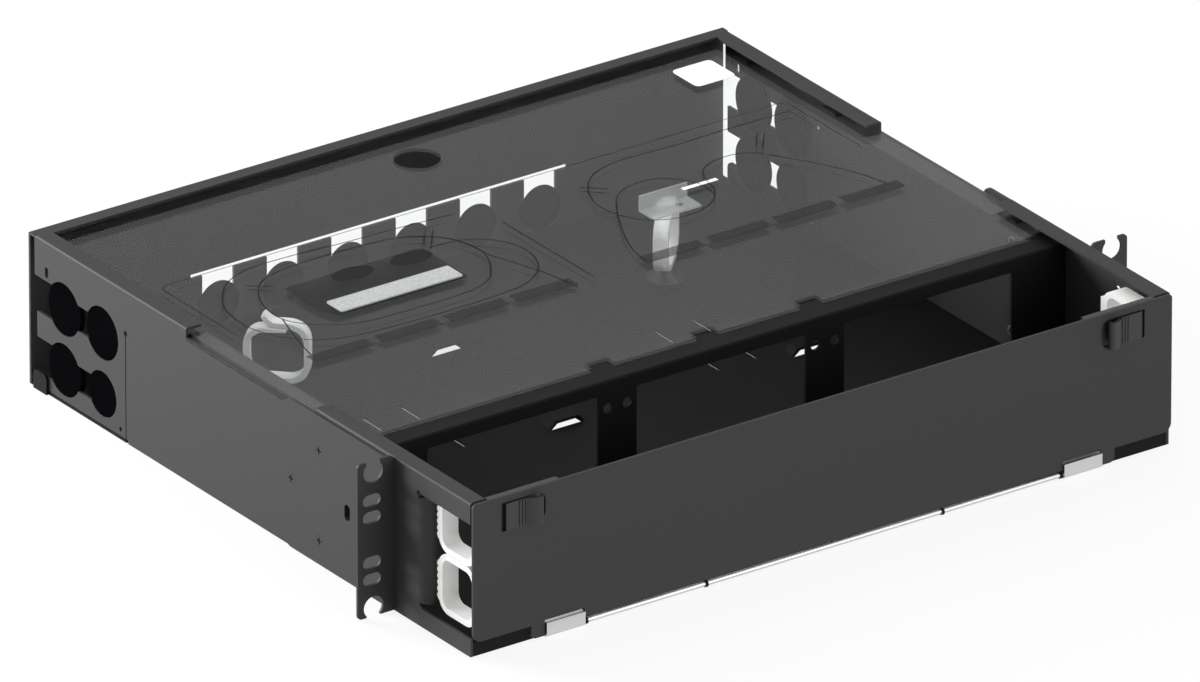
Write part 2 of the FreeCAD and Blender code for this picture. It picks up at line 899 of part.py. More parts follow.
def draw_rear_lower(drawing):
    gap_low = s.rear_seam_level - s.rear_gap_height
    gap_left = (s.width - s.rear_gap_length) / 2
    gap_right = (s.width + s.rear_gap_length) / 2
    outline(drawing, [
        (0, 0),
        (s.width, 0),
        (s.width, s.rear_seam_level),
        (gap_right, s.rear_seam_level),
        (gap_right, gap_low),
        (gap_left, gap_low),
        (gap_left, s.rear_seam_level),
        (0, s.rear_seam_level),
    ])


def draw_rear_ports(drawing):
    for across in rear_port_places():
        round_hole(drawing, across, s.rear_port_level, s.rear_port_diameter)


def draw_rear_necks(drawing):
    for across in rear_port_places():
        rectangle(drawing,
                  (across - s.rear_neck_width / 2, across + s.rear_neck_width / 2),
                  (s.rear_port_level, s.rear_seam_level))


def make_rear_lower():
    body = new_body("rear_wall_lower")
    pad(body, "XZ_Plane", "lower_sheet", rear_inner, s.gauge, draw_rear_lower)
    pocket(body, "XZ_Plane", "rear_ports", rear_inner, s.gauge, draw_rear_ports)
    pocket(body, "XZ_Plane", "rear_necks", rear_inner, s.gauge, draw_rear_necks)
    return body


def draw_rear_upper(drawing):
    rectangle(drawing, (0, s.width), (s.rear_seam_level, s.height))


def draw_rear_flange(drawing):
    rectangle(drawing, (s.flange_width, s.width - s.flange_width),
              (s.depth - s.rear_flange_width, s.depth))


def draw_rear_corner_flange(drawing):
    rectangle(drawing, (0, s.width), (wall_rear, s.depth))


def make_rear_upper():
    body = new_body("rear_wall_upper")
    pad(body, "XZ_Plane", "upper_sheet", rear_inner, s.gauge, draw_rear_upper)
    pad(body, "XY_Plane", "rear_flange", flange_under, s.gauge, draw_rear_flange)
    pad(body, "XY_Plane", "rear_corners", flange_under, s.gauge, draw_rear_corner_flange)
    round_edges(body, "rear_bend", s.bend_radius,
                lambda edge, middle: near(middle.y, s.depth) and near(middle.z, s.height))
    return body


sub_parts += [make_rear_lower(), make_rear_upper()]


# Bulkhead with three module openings

def module_middles():
    """Gives the middle of each module opening across."""
    return [s.width / 2 + s.module_pitch * step for step in (-1, 0, 1)]


def draw_bulkhead(drawing):
    rectangle(drawing, (s.gauge, inner_right), (s.gauge, ledge_top))


def draw_bulkhead_flange(drawing):
    rectangle(drawing, (s.gauge, inner_right),
              (s.bulkhead_setback, s.bulkhead_setback + s.bulkhead_flange))


def draw_module_openings(drawing):
    for middle in module_middles():
        rectangle(drawing, (middle - s.module_width / 2, middle + s.module_width / 2),
                  (s.module_bottom, s.module_top), s.module_corner)


def draw_plunger_holes(drawing):
    for side in (-1, 1):
        post = s.width / 2 + s.module_pitch / 2 * side
        for end in (-1, 1):
            round_hole(drawing, post + s.plunger_pitch / 2 * end, s.plunger_level,
                       s.plunger_diameter)


def make_bulkhead():
    body = new_body("bulkhead")
    pad(body, "XZ_Plane", "bulkhead_sheet", s.bulkhead_setback, s.gauge, draw_bulkhead)
    pad(body, "XY_Plane", "bulkhead_flange", ledge_top - s.gauge, s.gauge, draw_bulkhead_flange)
    round_edges(body, "bulkhead_bend", s.bend_radius,
                lambda edge, middle: near(middle.y, s.bulkhead_setback)
                and near(middle.z, ledge_top))
    pocket(body, "XZ_Plane", "module_openings", s.bulkhead_setback, s.gauge,
           draw_module_openings)
    pocket(body, "XZ_Plane", "plunger_holes", s.bulkhead_setback, s.gauge, draw_plunger_holes)
    return body


sub_parts.append(make_bulkhead())


# Rack brackets with their screws and nuts

ear_slot_across = s.ear_slot_edge - s.ear_reach
rack_middle = s.height / 2


def draw_ear(drawing):
    outline(drawing, [
        (-s.ear_reach, 0, s.ear_tip_radius),
        (0, 0),
        (0, s.ear_height, s.ear_tip_radius),
        (-s.ear_reach, s.ear_height, s.ear_tip_radius),
    ])


def draw_leaf(drawing):
    back = s.ear_plane + s.leaf_length
    outline(drawing, [
        (s.ear_plane, s.leaf_bottom),
        (back, s.leaf_bottom, s.leaf_corner),
        (back, s.leaf_top, s.leaf_corner),
        (s.ear_plane, s.leaf_top),
    ])


def draw_ear_slots(drawing):
    for offset in (s.ear_slot_near, s.ear_slot_far):
        for level in (rack_middle - offset, rack_middle + offset):
            obround(drawing, ear_slot_across, level, s.ear_slot_length, s.ear_slot_height)


def draw_ear_rounds(drawing):
    for level in (rack_middle - s.ear_notch_level, rack_middle + s.ear_notch_level):
        round_hole(drawing, -s.ear_notch_across, level, s.ear_notch_diameter)


def draw_ear_mouths(drawing):
    across = (-s.ear_notch_across - s.ear_mouth_width / 2,
              -s.ear_notch_across + s.ear_mouth_width / 2)
    rectangle(drawing, across, (-s.overcut, rack_middle - s.ear_notch_level))
    rectangle(drawing, across, (rack_middle + s.ear_notch_level, s.ear_height + s.overcut))


def draw_leaf_holes(drawing):
    for back, up in wall_screw_places():
        round_hole(drawing, back, up, s.screw_head + 2 * s.screw_clearance)
    obround(drawing, s.ear_plane + s.ear_oval_back, s.ear_screw_mid,
            s.ear_oval_length, s.ear_oval_width, upright=True)


def make_rack_bracket():
    body = new_body("rack_bracket_left")
    pad(body, "XZ_Plane", "ear", s.ear_plane, s.gauge, draw_ear)
    pad(body, "YZ_Plane", "leaf", -s.gauge, s.gauge, draw_leaf)
    pocket(body, "XZ_Plane", "ear_slots", s.ear_plane, s.gauge, draw_ear_slots)
    pocket(body, "XZ_Plane", "ear_rounds", s.ear_plane, s.gauge, draw_ear_rounds)
    pocket(body, "XZ_Plane", "ear_mouths", s.ear_plane, s.gauge, draw_ear_mouths)
    pocket(body, "YZ_Plane", "leaf_holes", -s.gauge, s.gauge, draw_leaf_holes)
    return body


def make_screw(name, back, up):
    """Makes one flush screw with a cross recess, driven in from the left."""
    head = primitive("Part::Cylinder", name + "_head",
                     {"Radius": s.screw_head / 2, "Height": s.gauge},
                     (-s.gauge, back, up), ALONG_X)
    shank = primitive("Part::Cylinder", name + "_shank",
                      {"Radius": s.screw_shank / 2, "Height": s.gauge + s.screw_reach},
                      (0, back, up), ALONG_X)
    solid = doc.addObject("Part::Fuse", name + "_blank")
    solid.Base = head
    solid.Tool = shank
    cuts = []
    for turn, (long, high) in enumerate(((s.recess_length, s.recess_width),
                                         (s.recess_width, s.recess_length))):
        cuts.append(primitive("Part::Box", f"{name}_recess_{turn}",
                              {"Length": s.recess_depth, "Width": long, "Height": high},
                              (-s.gauge, back - long / 2, up - high / 2)))
    recess = doc.addObject("Part::Fuse", name + "_recess")
    recess.Base = cuts[0]
    recess.Tool = cuts[1]
    screw = doc.addObject("Part::Cut", name)
    screw.Base = solid
    screw.Tool = recess
    return screw


def make_nut(name, back, up):
    """Makes one hexagon nut on the inside of the left wall."""
    circumradius = s.nut_across_flats / 2 / math.cos(math.pi / 6)
    blank = primitive("Part::Prism", name + "_blank",
                      {"Circumradius": circumradius, "Height": s.nut_thickness},
                      (s.gauge, back, up), ALONG_X)
    bore = primitive("Part::Cylinder", name + "_bore",
                     {"Radius": s.screw_shank / 2 + s.screw_clearance, "Height": s.nut_thickness},
                     (s.gauge, back, up), ALONG_X)
    nut = doc.addObject("Part::Cut", name)
    nut.Base = blank
    nut.Tool = bore
    return nut


rack_bracket = make_rack_bracket()
bracket_screws = grouped("bracket_screws_left", [
    make_screw(f"bracket_screw_{index}", *place)
    for index, place in enumerate(wall_screw_places())])
bracket_nuts = grouped("bracket_nuts_left", [
    make_nut(f"bracket_nut_{index}", *place)
    for index, place in enumerate(wall_screw_places())])
sub_parts += [
    rack_bracket,
    mirrored(rack_bracket, "rack_bracket_right"),
    bracket_screws,
    mirrored(bracket_screws, "bracket_screws_right"),
    bracket_nuts,
    mirrored(bracket_nuts, "bracket_nuts_right"),
]


# Plugs that close the cable ports

def make_plug(name, diameter, place, rotation, inward):
    """Makes one plug: a disc set back in the sheet, with a lip that seats on its inner face."""
    disc_place = list(place)
    lip_place = list(place)
    axis = 0 if rotation is ALONG_X else 1
    if inward > 0:
        disc_place[axis] = place[axis] + s.plug_recess
        lip_place[axis] = place[axis] + s.gauge
    else:
        lip_place[axis] = place[axis] - s.plug_lip_thickness
    disc = primitive("Part::Cylinder", name + "_disc",
                     {"Radius": diameter / 2 - s.plug_clearance,
                      "Height": s.gauge - s.plug_recess}, disc_place, rotation)
    lip = primitive("Part::Cylinder", name + "_lip",
                    {"Radius": diameter / 2 + s.plug_lip, "Height": s.plug_lip_thickness},
                    lip_place, rotation)
    plug = doc.addObject("Part::Fuse", name)
    plug.Base = disc
    plug.Tool = lip
    return plug


port_plugs = grouped("port_plugs_left", [
    make_plug("plug_outer_low", s.port_diameter, (0, port_outer, port_rows[0]), ALONG_X, 1),
    make_plug("plug_outer_high", s.port_diameter, (0, port_outer, port_rows[1]), ALONG_X, 1),
    make_plug("plug_inner_low", s.port_small_diameter, (0, port_inner, port_rows[0]), ALONG_X, 1),
    make_plug("plug_inner_high", s.port_diameter, (0, port_inner, port_rows[1]), ALONG_X, 1),
])
rear_plugs = grouped("rear_port_plugs", [
    make_plug(f"rear_plug_{index}", s.rear_port_diameter,
              (across, rear_inner, s.rear_port_level), ALONG_Y, -1)
    for index, across in enumerate(rear_port_places())])
sub_parts += [port_plugs, mirrored(port_plugs, "port_plugs_right"), rear_plugs]


# Sliding clear cover and what is fixed to it

cover_left = s.gauge + s.cover_side_clearance
cover_right = s.width - cover_left
cover_rear = rear_inner - s.cover_rear_clearance
cover_top = s.cover_level + s.cover_thickness


def draw_cover(drawing):
    rectangle(drawing, (cover_left, cover_right), (s.cover_front, cover_rear), s.cover_corner)


def draw_finger_hole(drawing):
    round_hole(drawing, s.width / 2, s.depth - s.finger_hole_inset, s.finger_hole_diameter)


def draw_cover_notches(drawing):
    for step in (-1, 0, 1):
        middle = s.width / 2 + s.notch_pitch * step
        rectangle(drawing, (middle - s.notch_width / 2, middle + s.notch_width / 2),
                  (s.cover_front - 1, s.cover_front + s.notch_depth))


def make_cover():
    body = new_body("top_cover")
    pad(body, "XY_Plane", "cover_sheet", s.cover_level, s.cover_thickness, draw_cover)
    pocket(body, "XY_Plane", "finger_hole", s.cover_level, s.cover_thickness, draw_finger_hole)
    pocket(body, "XY_Plane", "cover_notches", s.cover_level, s.cover_thickness,
           draw_cover_notches)
    return body


def make_cover_plate(label, across, inset, long, high, thick, corner):
    """Makes one thin plate that lies on the cover."""
    middle = s.depth - inset
    body = new_body(label)
    pad(body, "XY_Plane", "plate", cover_top, thick, lambda drawing: rectangle(
        drawing, (across - long / 2, across + long / 2), (middle - high / 2, middle + high / 2),
        corner))
    return body


sub_parts += [
    make_cover(),
    make_cover_plate("cover_label", s.width - s.label_side_inset, s.label_inset, s.label_length,
                     s.label_height, s.label_thickness, s.label_corner),
    make_cover_plate("cover_strip", s.strip_across, s.strip_inset, s.strip_length,
                     s.strip_height, s.strip_thickness, s.label_corner / 3),
]


hanger_across = s.width - s.hanger_side_inset


def draw_hanger_profile(drawing):
    back = s.depth - s.hanger_inset
    floor = s.cover_level - s.hanger_drop
    outline(drawing, [
        (back - s.hanger_length, floor),
        (back, floor),
        (back, s.cover_level),
        (back - s.hanger_gauge, s.cover_level),
        (back - s.hanger_gauge, floor + s.hanger_gauge),
        (back - s.hanger_length, floor + s.hanger_gauge),
    ])


def draw_hanger_hole(drawing):
    round_hole(drawing, hanger_across + s.hanger_width / 5,
               s.depth - s.hanger_inset - s.hanger_length / 2, s.hanger_hole)


def make_hanger():
    body = new_body("cover_bracket")
    pad(body, "YZ_Plane", "bent_sheet", hanger_across - s.hanger_width / 2, s.hanger_width,
        draw_hanger_profile)
    pocket(body, "XY_Plane", "hanger_hole", s.cover_level - s.hanger_drop, s.hanger_gauge,
           draw_hanger_hole)
    return body


sub_parts.append(make_hanger())


# Front door with its hinge

door_left = s.door_side_clearance
door_right = s.width - s.door_side_clearance
door_top = s.height - s.door_top_clearance
leg_end = s.clip_start - s.clip_side_clearance
clip_bridge = s.clip_top - s.clip_gauge
latch_window_top = s.latch_window_bottom + s.latch_window_height
latch_window_end = s.latch_window_start + s.latch_window_length


def draw_door(drawing):
    outline(drawing, [
        (door_left, s.door_end_bottom, s.door_corner),
        (s.door_leg_start, s.door_end_bottom),
        (s.door_leg_start, s.door_leg_bottom, s.door_leg_radius),
        (leg_end, s.door_leg_bottom),
        (leg_end, s.door_bottom),
        (s.width - leg_end, s.door_bottom),
        (s.width - leg_end, s.door_leg_bottom),
        (s.width - s.door_leg_start, s.door_leg_bottom, s.door_leg_radius),
        (s.width - s.door_leg_start, s.door_end_bottom),
        (door_right, s.door_end_bottom, s.door_corner),
        (door_right, door_top, s.cover_corner),
        (door_left, door_top, s.cover_corner),
    ])


def draw_clip_slots(drawing):
    near_side = s.clip_start - s.clip_side_clearance
    far_side = clip_end + s.clip_side_clearance
    for across in ((near_side, far_side), (s.width - far_side, s.width - near_side)):
        rectangle(drawing, across, (clip_bridge, clip_bridge + s.clip_slot_height))


def draw_latch_windows(drawing):
    for outer, inner in ((s.latch_window_start, latch_window_end),
                         (s.width - s.latch_window_start, s.width - latch_window_end)):
        outline(drawing, [
            (outer, s.latch_window_bottom, s.latch_window_corner),
            (inner, s.latch_window_bottom, s.latch_window_round),
            (inner, latch_window_top, s.latch_window_round),
            (outer, latch_window_top, s.latch_window_corner),
        ])


def make_door():
    body = new_body("front_door")
    pad(body, "XZ_Plane", "door_sheet", door_outer, s.gauge, draw_door)
    pocket(body, "XZ_Plane", "clip_slots", door_outer, s.gauge, draw_clip_slots)
    pocket(body, "XZ_Plane", "latch_windows", door_outer, s.gauge, draw_latch_windows)
    return body


def draw_clip(drawing):
    inner = s.rod_diameter / 2 + s.rod_clearance
    outer = inner + s.clip_gauge
    outline(drawing, [
        (hinge_back - outer, s.hinge_level - outer, outer * s.clip_round),
        (hinge_back + outer, s.hinge_level - outer, outer * s.clip_round),
        (hinge_back + outer, s.clip_top),
        (hinge_back - outer, s.clip_top),
    ])
    outline(drawing, [
        (hinge_back - inner, s.hinge_level - inner, inner * s.clip_round),
        (hinge_back + inner, s.hinge_level - inner, inner * s.clip_round),
        (hinge_back + inner, clip_bridge),
        (hinge_back - inner, clip_bridge),
    ])


def make_hinge_clip():
    body = new_body("hinge_clip_left")
    pad(body, "YZ_Plane", "clip", s.clip_start, s.clip_width, draw_clip)
    return body


hinge_clip = make_hinge_clip()
rod_start = s.clip_start + s.rod_end_clearance
hinge_rod = primitive("Part::Cylinder", "hinge_rod",
                      {"Radius": s.rod_diameter / 2, "Height": s.width - 2 * rod_start},
                      (rod_start, hinge_back, s.hinge_level), ALONG_X)
sub_parts += [make_door(), hinge_clip, mirrored(hinge_clip, "hinge_clip_right"), hinge_rod]


# Door latches

latch_start = s.latch_window_start + s.latch_side_gap
latch_end = latch_start + s.latch_length
stem_end = latch_start + s.latch_stem_length
flat_end = latch_start + s.latch_flat_length
flat_front = door_outer - s.latch_flat_proud
latch_low = s.latch_window_bottom + s.latch_end_clearance
latch_high = latch_window_top - s.latch_end_clearance
crown_front = door_outer - s.latch_proud
foot_front = door_inner + s.latch_running_gap
foot_rear = foot_front + s.latch_foot_thickness
foot_low = s.latch_window_bottom - s.latch_foot_overlap
foot_high = latch_window_top + s.latch_foot_overlap
foot_start = latch_start - s.latch_foot_reach
foot_end = latch_end + s.latch_foot_overlap * 2
hook_tip = s.gauge + s.catch_reach + s.hook_clearance
housing_back = foot_rear + s.latch_running_gap
housing_end = foot_end + s.latch_travel + s.housing_wall


def draw_latch_crown(drawing):
    nose_start = latch_end - s.latch_nose_length
    nose_back = crown_front + s.latch_nose_depth
    freeform(drawing, [
        (latch_start, foot_front),
        (latch_start, flat_front),
        (flat_end, flat_front, s.latch_rise_radius),
        (nose_start, crown_front, s.latch_nose_depth),
        (latch_end, nose_back),
        (latch_end - s.latch_wall, nose_back),
        (nose_start, crown_front + s.latch_wall),
        (stem_end, flat_front + s.latch_wall / 2),
        (stem_end, foot_front),
    ])


def draw_latch_ribs(drawing):
    for step in range(RIB_COUNT):
        rib = flat_end - s.latch_rib_pitch * step
        rectangle(drawing, (rib - s.latch_rib_width, rib),
                  (flat_front - s.latch_rib_proud, flat_front + s.latch_rib_proud))


def draw_latch_foot(drawing):
    rectangle(drawing, (foot_start, foot_end), (foot_low, foot_high))


def draw_latch_hook(drawing):
    post = foot_start + s.hook_thickness * 2
    outline(drawing, [
        (hook_tip, s.hook_back),
        (foot_start, s.hook_back),
        (foot_start, foot_rear - s.gauge / 2),
        (post, foot_rear - s.gauge / 2),
        (post, s.hook_back + s.hook_thickness),
        (hook_tip, s.hook_back + s.hook_thickness),
    ])


def make_latch_slide():
    body = new_body("latch_slide_left")
    pad(body, "XZ_Plane", "foot", foot_front, s.latch_foot_thickness, draw_latch_foot)
    pad(body, "XY_Plane", "crown", latch_low, latch_high - latch_low, draw_latch_crown)
    pad(body, "XY_Plane", "ribs", latch_low + s.latch_end_clearance,
        latch_high - latch_low - 2 * s.latch_end_clearance, draw_latch_ribs)
    pad(body, "XY_Plane", "hook", s.hook_level, s.hook_height, draw_latch_hook)
    return body


def draw_housing_block(drawing):
    rectangle(drawing, (foot_start - s.housing_wall, housing_end),
              (foot_low - s.latch_running_gap - s.housing_wall,
               foot_high + s.latch_running_gap + s.housing_wall / 2))


def draw_housing_channel(drawing):
    rectangle(drawing, (foot_start - s.housing_wall, housing_end - s.housing_wall),
              (foot_low - s.latch_running_gap, foot_high + s.latch_running_gap))


def draw_housing_window(drawing):
    rectangle(drawing, (foot_start - s.housing_wall, housing_end - s.housing_wall),
              (s.latch_window_bottom, latch_window_top))


def make_latch_housing():
    body = new_body("latch_housing_left")
    channel = housing_back - door_inner
    pad(body, "XZ_Plane", "housing", door_inner, channel + s.housing_wall, draw_housing_block)
    pocket(body, "XZ_Plane", "slide_channel", door_inner, channel, draw_housing_channel)
    pocket(body, "XZ_Plane", "back_window", housing_back, s.housing_wall, draw_housing_window)
    return body


latch_slide = make_latch_slide()
latch_housing = make_latch_housing()
sub_parts += [
    latch_slide,
    mirrored(latch_slide, "latch_slide_right"),
    latch_housing,
    mirrored(latch_housing, "latch_housing_right"),
]


# Cable rings in the front bays

def make_cable_ring(label, low):
    """Makes one split ring that stands against the window post."""
    back = s.ring_front + s.ring_length
    middle = low + s.ring_height / 2
    foot_back = post_front - s.ring_tooth_depth
    foot_span = (middle - s.ring_foot_height / 2, middle + s.ring_foot_height / 2)

    def draw_band(drawing):
        rectangle(drawing, (s.ring_front, back), (low, low + s.ring_height), s.ring_corner)
        rectangle(drawing, (s.ring_front + s.ring_band, back - s.ring_band),
                  (low + s.ring_band, low + s.ring_height - s.ring_band),
                  s.ring_corner - s.ring_band)

    def draw_foot(drawing):
        rectangle(drawing, (back - s.ring_band / 2, foot_back), foot_span)

    def draw_seat(drawing):
        rectangle(drawing, (foot_back - s.ring_band / 2, post_front), foot_span)

    def draw_teeth(drawing):
        for step in range(TOOTH_COUNT):
            level = middle + s.ring_tooth_pitch * (step - (TOOTH_COUNT - 1) / 2)
            rectangle(drawing, (foot_back - s.ring_band / 4, foot_back + s.ring_tooth_depth / 2),
                      (level - s.ring_tooth_pitch / 4, level + s.ring_tooth_pitch / 4))

    def draw_split(drawing):
        rectangle(drawing, (s.ring_front - s.overcut, s.ring_front + s.ring_band + s.overcut),
                  (middle - s.ring_split / 2, middle + s.ring_split / 2))

    body = new_body(label)
    seat_side = s.window_post_roll + s.ring_seat_clearance
    pad(body, "YZ_Plane", "band", s.ring_side, s.ring_depth, draw_band)
    pad(body, "YZ_Plane", "foot", s.ring_side, s.ring_depth, draw_foot)
    pad(body, "YZ_Plane", "seat", seat_side, s.ring_side + s.ring_depth - seat_side, draw_seat)
    pad(body, "YZ_Plane", "teeth", s.ring_side, s.ring_depth / 4, draw_teeth)
    pocket(body, "YZ_Plane", "split", s.ring_side, s.ring_depth, draw_split)
    return body


for label, low in (("cable_ring_left_lower", s.ring_low),
                   ("cable_ring_left_upper", s.ring_low + s.ring_height + s.ring_stack_gap)):
    cable_ring = make_cable_ring(label, low)
    sub_parts += [cable_ring, mirrored(cable_ring, label.replace("left", "right"))]


# Fibre rings on the floor of the rear bay

def draw_loop(drawing):
    half = s.loop_width / 2
    rectangle(drawing, (-half, half), (0, s.loop_height), s.loop_corner)
    rectangle(drawing, (s.loop_band - half, half - s.loop_band),
              (s.loop_band, s.loop_height - s.loop_band), s.loop_corner - s.loop_band)


def draw_loop_foot(drawing):
    round_hole(drawing, 0, 0, s.loop_foot_diameter)


def draw_loop_split(drawing):
    middle = -s.loop_split_side
    rectangle(drawing, (middle - s.loop_split / 2, middle + s.loop_split / 2),
              (s.loop_height - s.loop_band - s.overcut, s.loop_height + s.overcut))


def draw_loop_finger(drawing):
    root = s.loop_split / 2 - s.loop_split_side
    top = s.loop_height
    high = top + s.finger_rise
    tip = root - s.finger_reach - s.overcut
    freeform(drawing, [
        (root, top - s.loop_band / 2),
        (root + s.finger_root, top - s.loop_band / 2),
        (root + s.finger_root, top),
        (root, top + s.finger_thickness),
        (root - s.finger_root, high),
        (tip, high),
        (tip, high - s.finger_thickness),
        (root - s.finger_root, high - s.finger_thickness),
        (root - s.overcut, top + s.finger_thickness / 2),
    ])


def make_fibre_loop(label, across, turn):
    """Makes one split fibre ring, turned on its foot."""
    body = new_body(label, across, s.depth - s.loop_back_inset, s.gauge)
    body.Placement = Placement(body.Placement.Base, Rotation(Vector(0, 0, 1), turn))
    pad(body, "XZ_Plane", "loop", -s.loop_depth / 2, s.loop_depth, draw_loop)
    pad(body, "XY_Plane", "foot", 0, s.loop_foot_thickness, draw_loop_foot)
    pocket(body, "XZ_Plane", "split", -s.loop_depth / 2, s.loop_depth, draw_loop_split)
    pad(body, "XZ_Plane", "finger", -s.loop_depth / 2, s.loop_depth, draw_loop_finger)
    return body


sub_parts += [
    make_fibre_loop("fibre_ring_left", s.loop_side_inset, -45),
    make_fibre_loop("fibre_ring_right", s.width - s.loop_side_inset, 45),
]


def write_parts():
    """Checks the document and writes one STEP file for each sub-part."""
    doc.recompute()
    for thing in doc.Objects:
        if "Invalid" in thing.State or "Error" in thing.State:
            raise RuntimeError(f"{thing.Label} could not be built: {thing.State}")
        if thing.TypeId == "PartDesign::Pocket" and thing.Suppressed is False:
            before = thing.BaseFeature.Shape.Volume
            if thing.Shape.Volume > before - 0.01:
                raise RuntimeError(f"{thing.Label} cuts nothing")
    for part in sub_parts:
        if part.Shape.isNull() or not part.Shape.isValid():
            raise RuntimeError(f"{part.Label} has no valid shape")
    os.makedirs("parts", exist_ok=True)
    for part in sub_parts:
        part.Shape.exportStep(f"parts/{part.Label}.step")
        print(part.Label, len(part.Shape.Solids), round(part.Shape.Volume / 1000, 2))


write_parts()
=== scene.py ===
import logging
import math
from dataclasses import dataclass, field
from enum import Enum
from typing import Any

import bmesh
import bpy
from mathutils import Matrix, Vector


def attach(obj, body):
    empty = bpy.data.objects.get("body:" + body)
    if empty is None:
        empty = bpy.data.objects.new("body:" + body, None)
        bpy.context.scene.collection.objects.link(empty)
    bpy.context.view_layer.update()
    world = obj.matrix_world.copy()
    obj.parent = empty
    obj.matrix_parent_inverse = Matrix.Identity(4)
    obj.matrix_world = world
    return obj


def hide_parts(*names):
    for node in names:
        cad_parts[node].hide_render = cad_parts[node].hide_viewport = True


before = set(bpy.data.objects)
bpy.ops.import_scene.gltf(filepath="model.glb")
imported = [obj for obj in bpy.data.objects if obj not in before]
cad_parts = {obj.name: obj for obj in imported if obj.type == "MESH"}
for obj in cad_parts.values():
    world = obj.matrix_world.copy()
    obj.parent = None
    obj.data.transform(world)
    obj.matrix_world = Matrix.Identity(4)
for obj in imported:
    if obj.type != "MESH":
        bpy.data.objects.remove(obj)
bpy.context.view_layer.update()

# The dressed look of a two-unit rack fibre patch panel. The chassis corner is the left wall's
# outer face, the chassis front edge and the underside of the floor. Places are given from it in
# millimetres and turned to metres of the frame.
log = logging.getLogger("patch_panel")

MM = 0.001
CHASSIS_WIDTH = 438.0
CHASSIS_DEPTH = 398.0
CHASSIS_HEIGHT = 86.5
FRONT_STAND = 7.3

# The noise that every finish shares: a fine grain, and broad patches that shift the colour
FINE_DETAIL = 3.0
FINE_ROUGHNESS = 0.6
BROAD_DETAIL = 2.0
MOTTLE_LOW = 0.3
MOTTLE_HIGH = 0.7
GLOW_DEPTH_MM = 1.5
COAT_ROUGHNESS = 0.03


def spot(across: float, back: float, up: float) -> Vector:
    """Turns a place measured from the chassis corner into the frame.

    Args:
        across: Millimetres to the right of the left wall's outer face.
        back: Millimetres behind the chassis front edge.
        up: Millimetres above the underside of the floor.

    Returns:
        The place in metres.
    """
    back_corner = (FRONT_STAND - CHASSIS_DEPTH) / 2
    return Vector((across - CHASSIS_WIDTH / 2, back + back_corner, up)) * MM


def outward(azimuth: float, elevation: float) -> Vector:
    """Gives the direction from the panel to a lamp or the camera.

    Args:
        azimuth: Degrees round the panel, where 0 is straight in front of the door.
        elevation: Degrees above the horizon.

    Returns:
        A vector of length one.
    """
    turn, tilt = math.radians(azimuth), math.radians(elevation)
    return Vector((math.sin(turn) * math.cos(tilt), -math.cos(turn) * math.cos(tilt),
                   math.sin(tilt)))


def linear(colour: str) -> tuple[float, float, float, float]:
    """Turns an sRGB hex colour into linear values.

    Args:
        colour: Six hex digits after a hash.

    Returns:
        Red, green, blue and an alpha of 1.
    """
    values = []
    for start in (1, 3, 5):
        value = int(colour[start:start + 2], 16) / 255
        values.append(value / 12.92 if value <= 0.04045 else ((value + 0.055) / 1.055) ** 2.4)
    return values[0], values[1], values[2], 1.0


def add_node(tree: bpy.types.NodeTree, kind: str, values: dict[str, Any] | None = None,
             links: dict[str, tuple[bpy.types.Node, str]] | None = None,
             **settings: Any) -> bpy.types.Node:
    """Adds one shader node with its settings and links.

    Args:
        tree: The material's or the world's node tree.
        kind: Blender's name for the node.
        values: Numbers or colours for its inputs.
        links: For an input, the node and the output that feed it.
        **settings: The node's own properties.

    Returns:
        The new node.
    """
    node = tree.nodes.new(kind)
    for name, setting in settings.items():
        setattr(node, name, setting)
    for name, value in (values or {}).items():
        node.inputs[name].default_value = value
    for name, (source, output) in (links or {}).items():
        tree.links.new(source.outputs[output], node.inputs[name])
    return node


class Grain(Enum):
    """How a surface's fine pattern runs, as the stretch of its noise along the three axes."""

    EVEN = (1.0, 1.0, 1.0)
    ACROSS = (0.04, 1.0, 1.0)


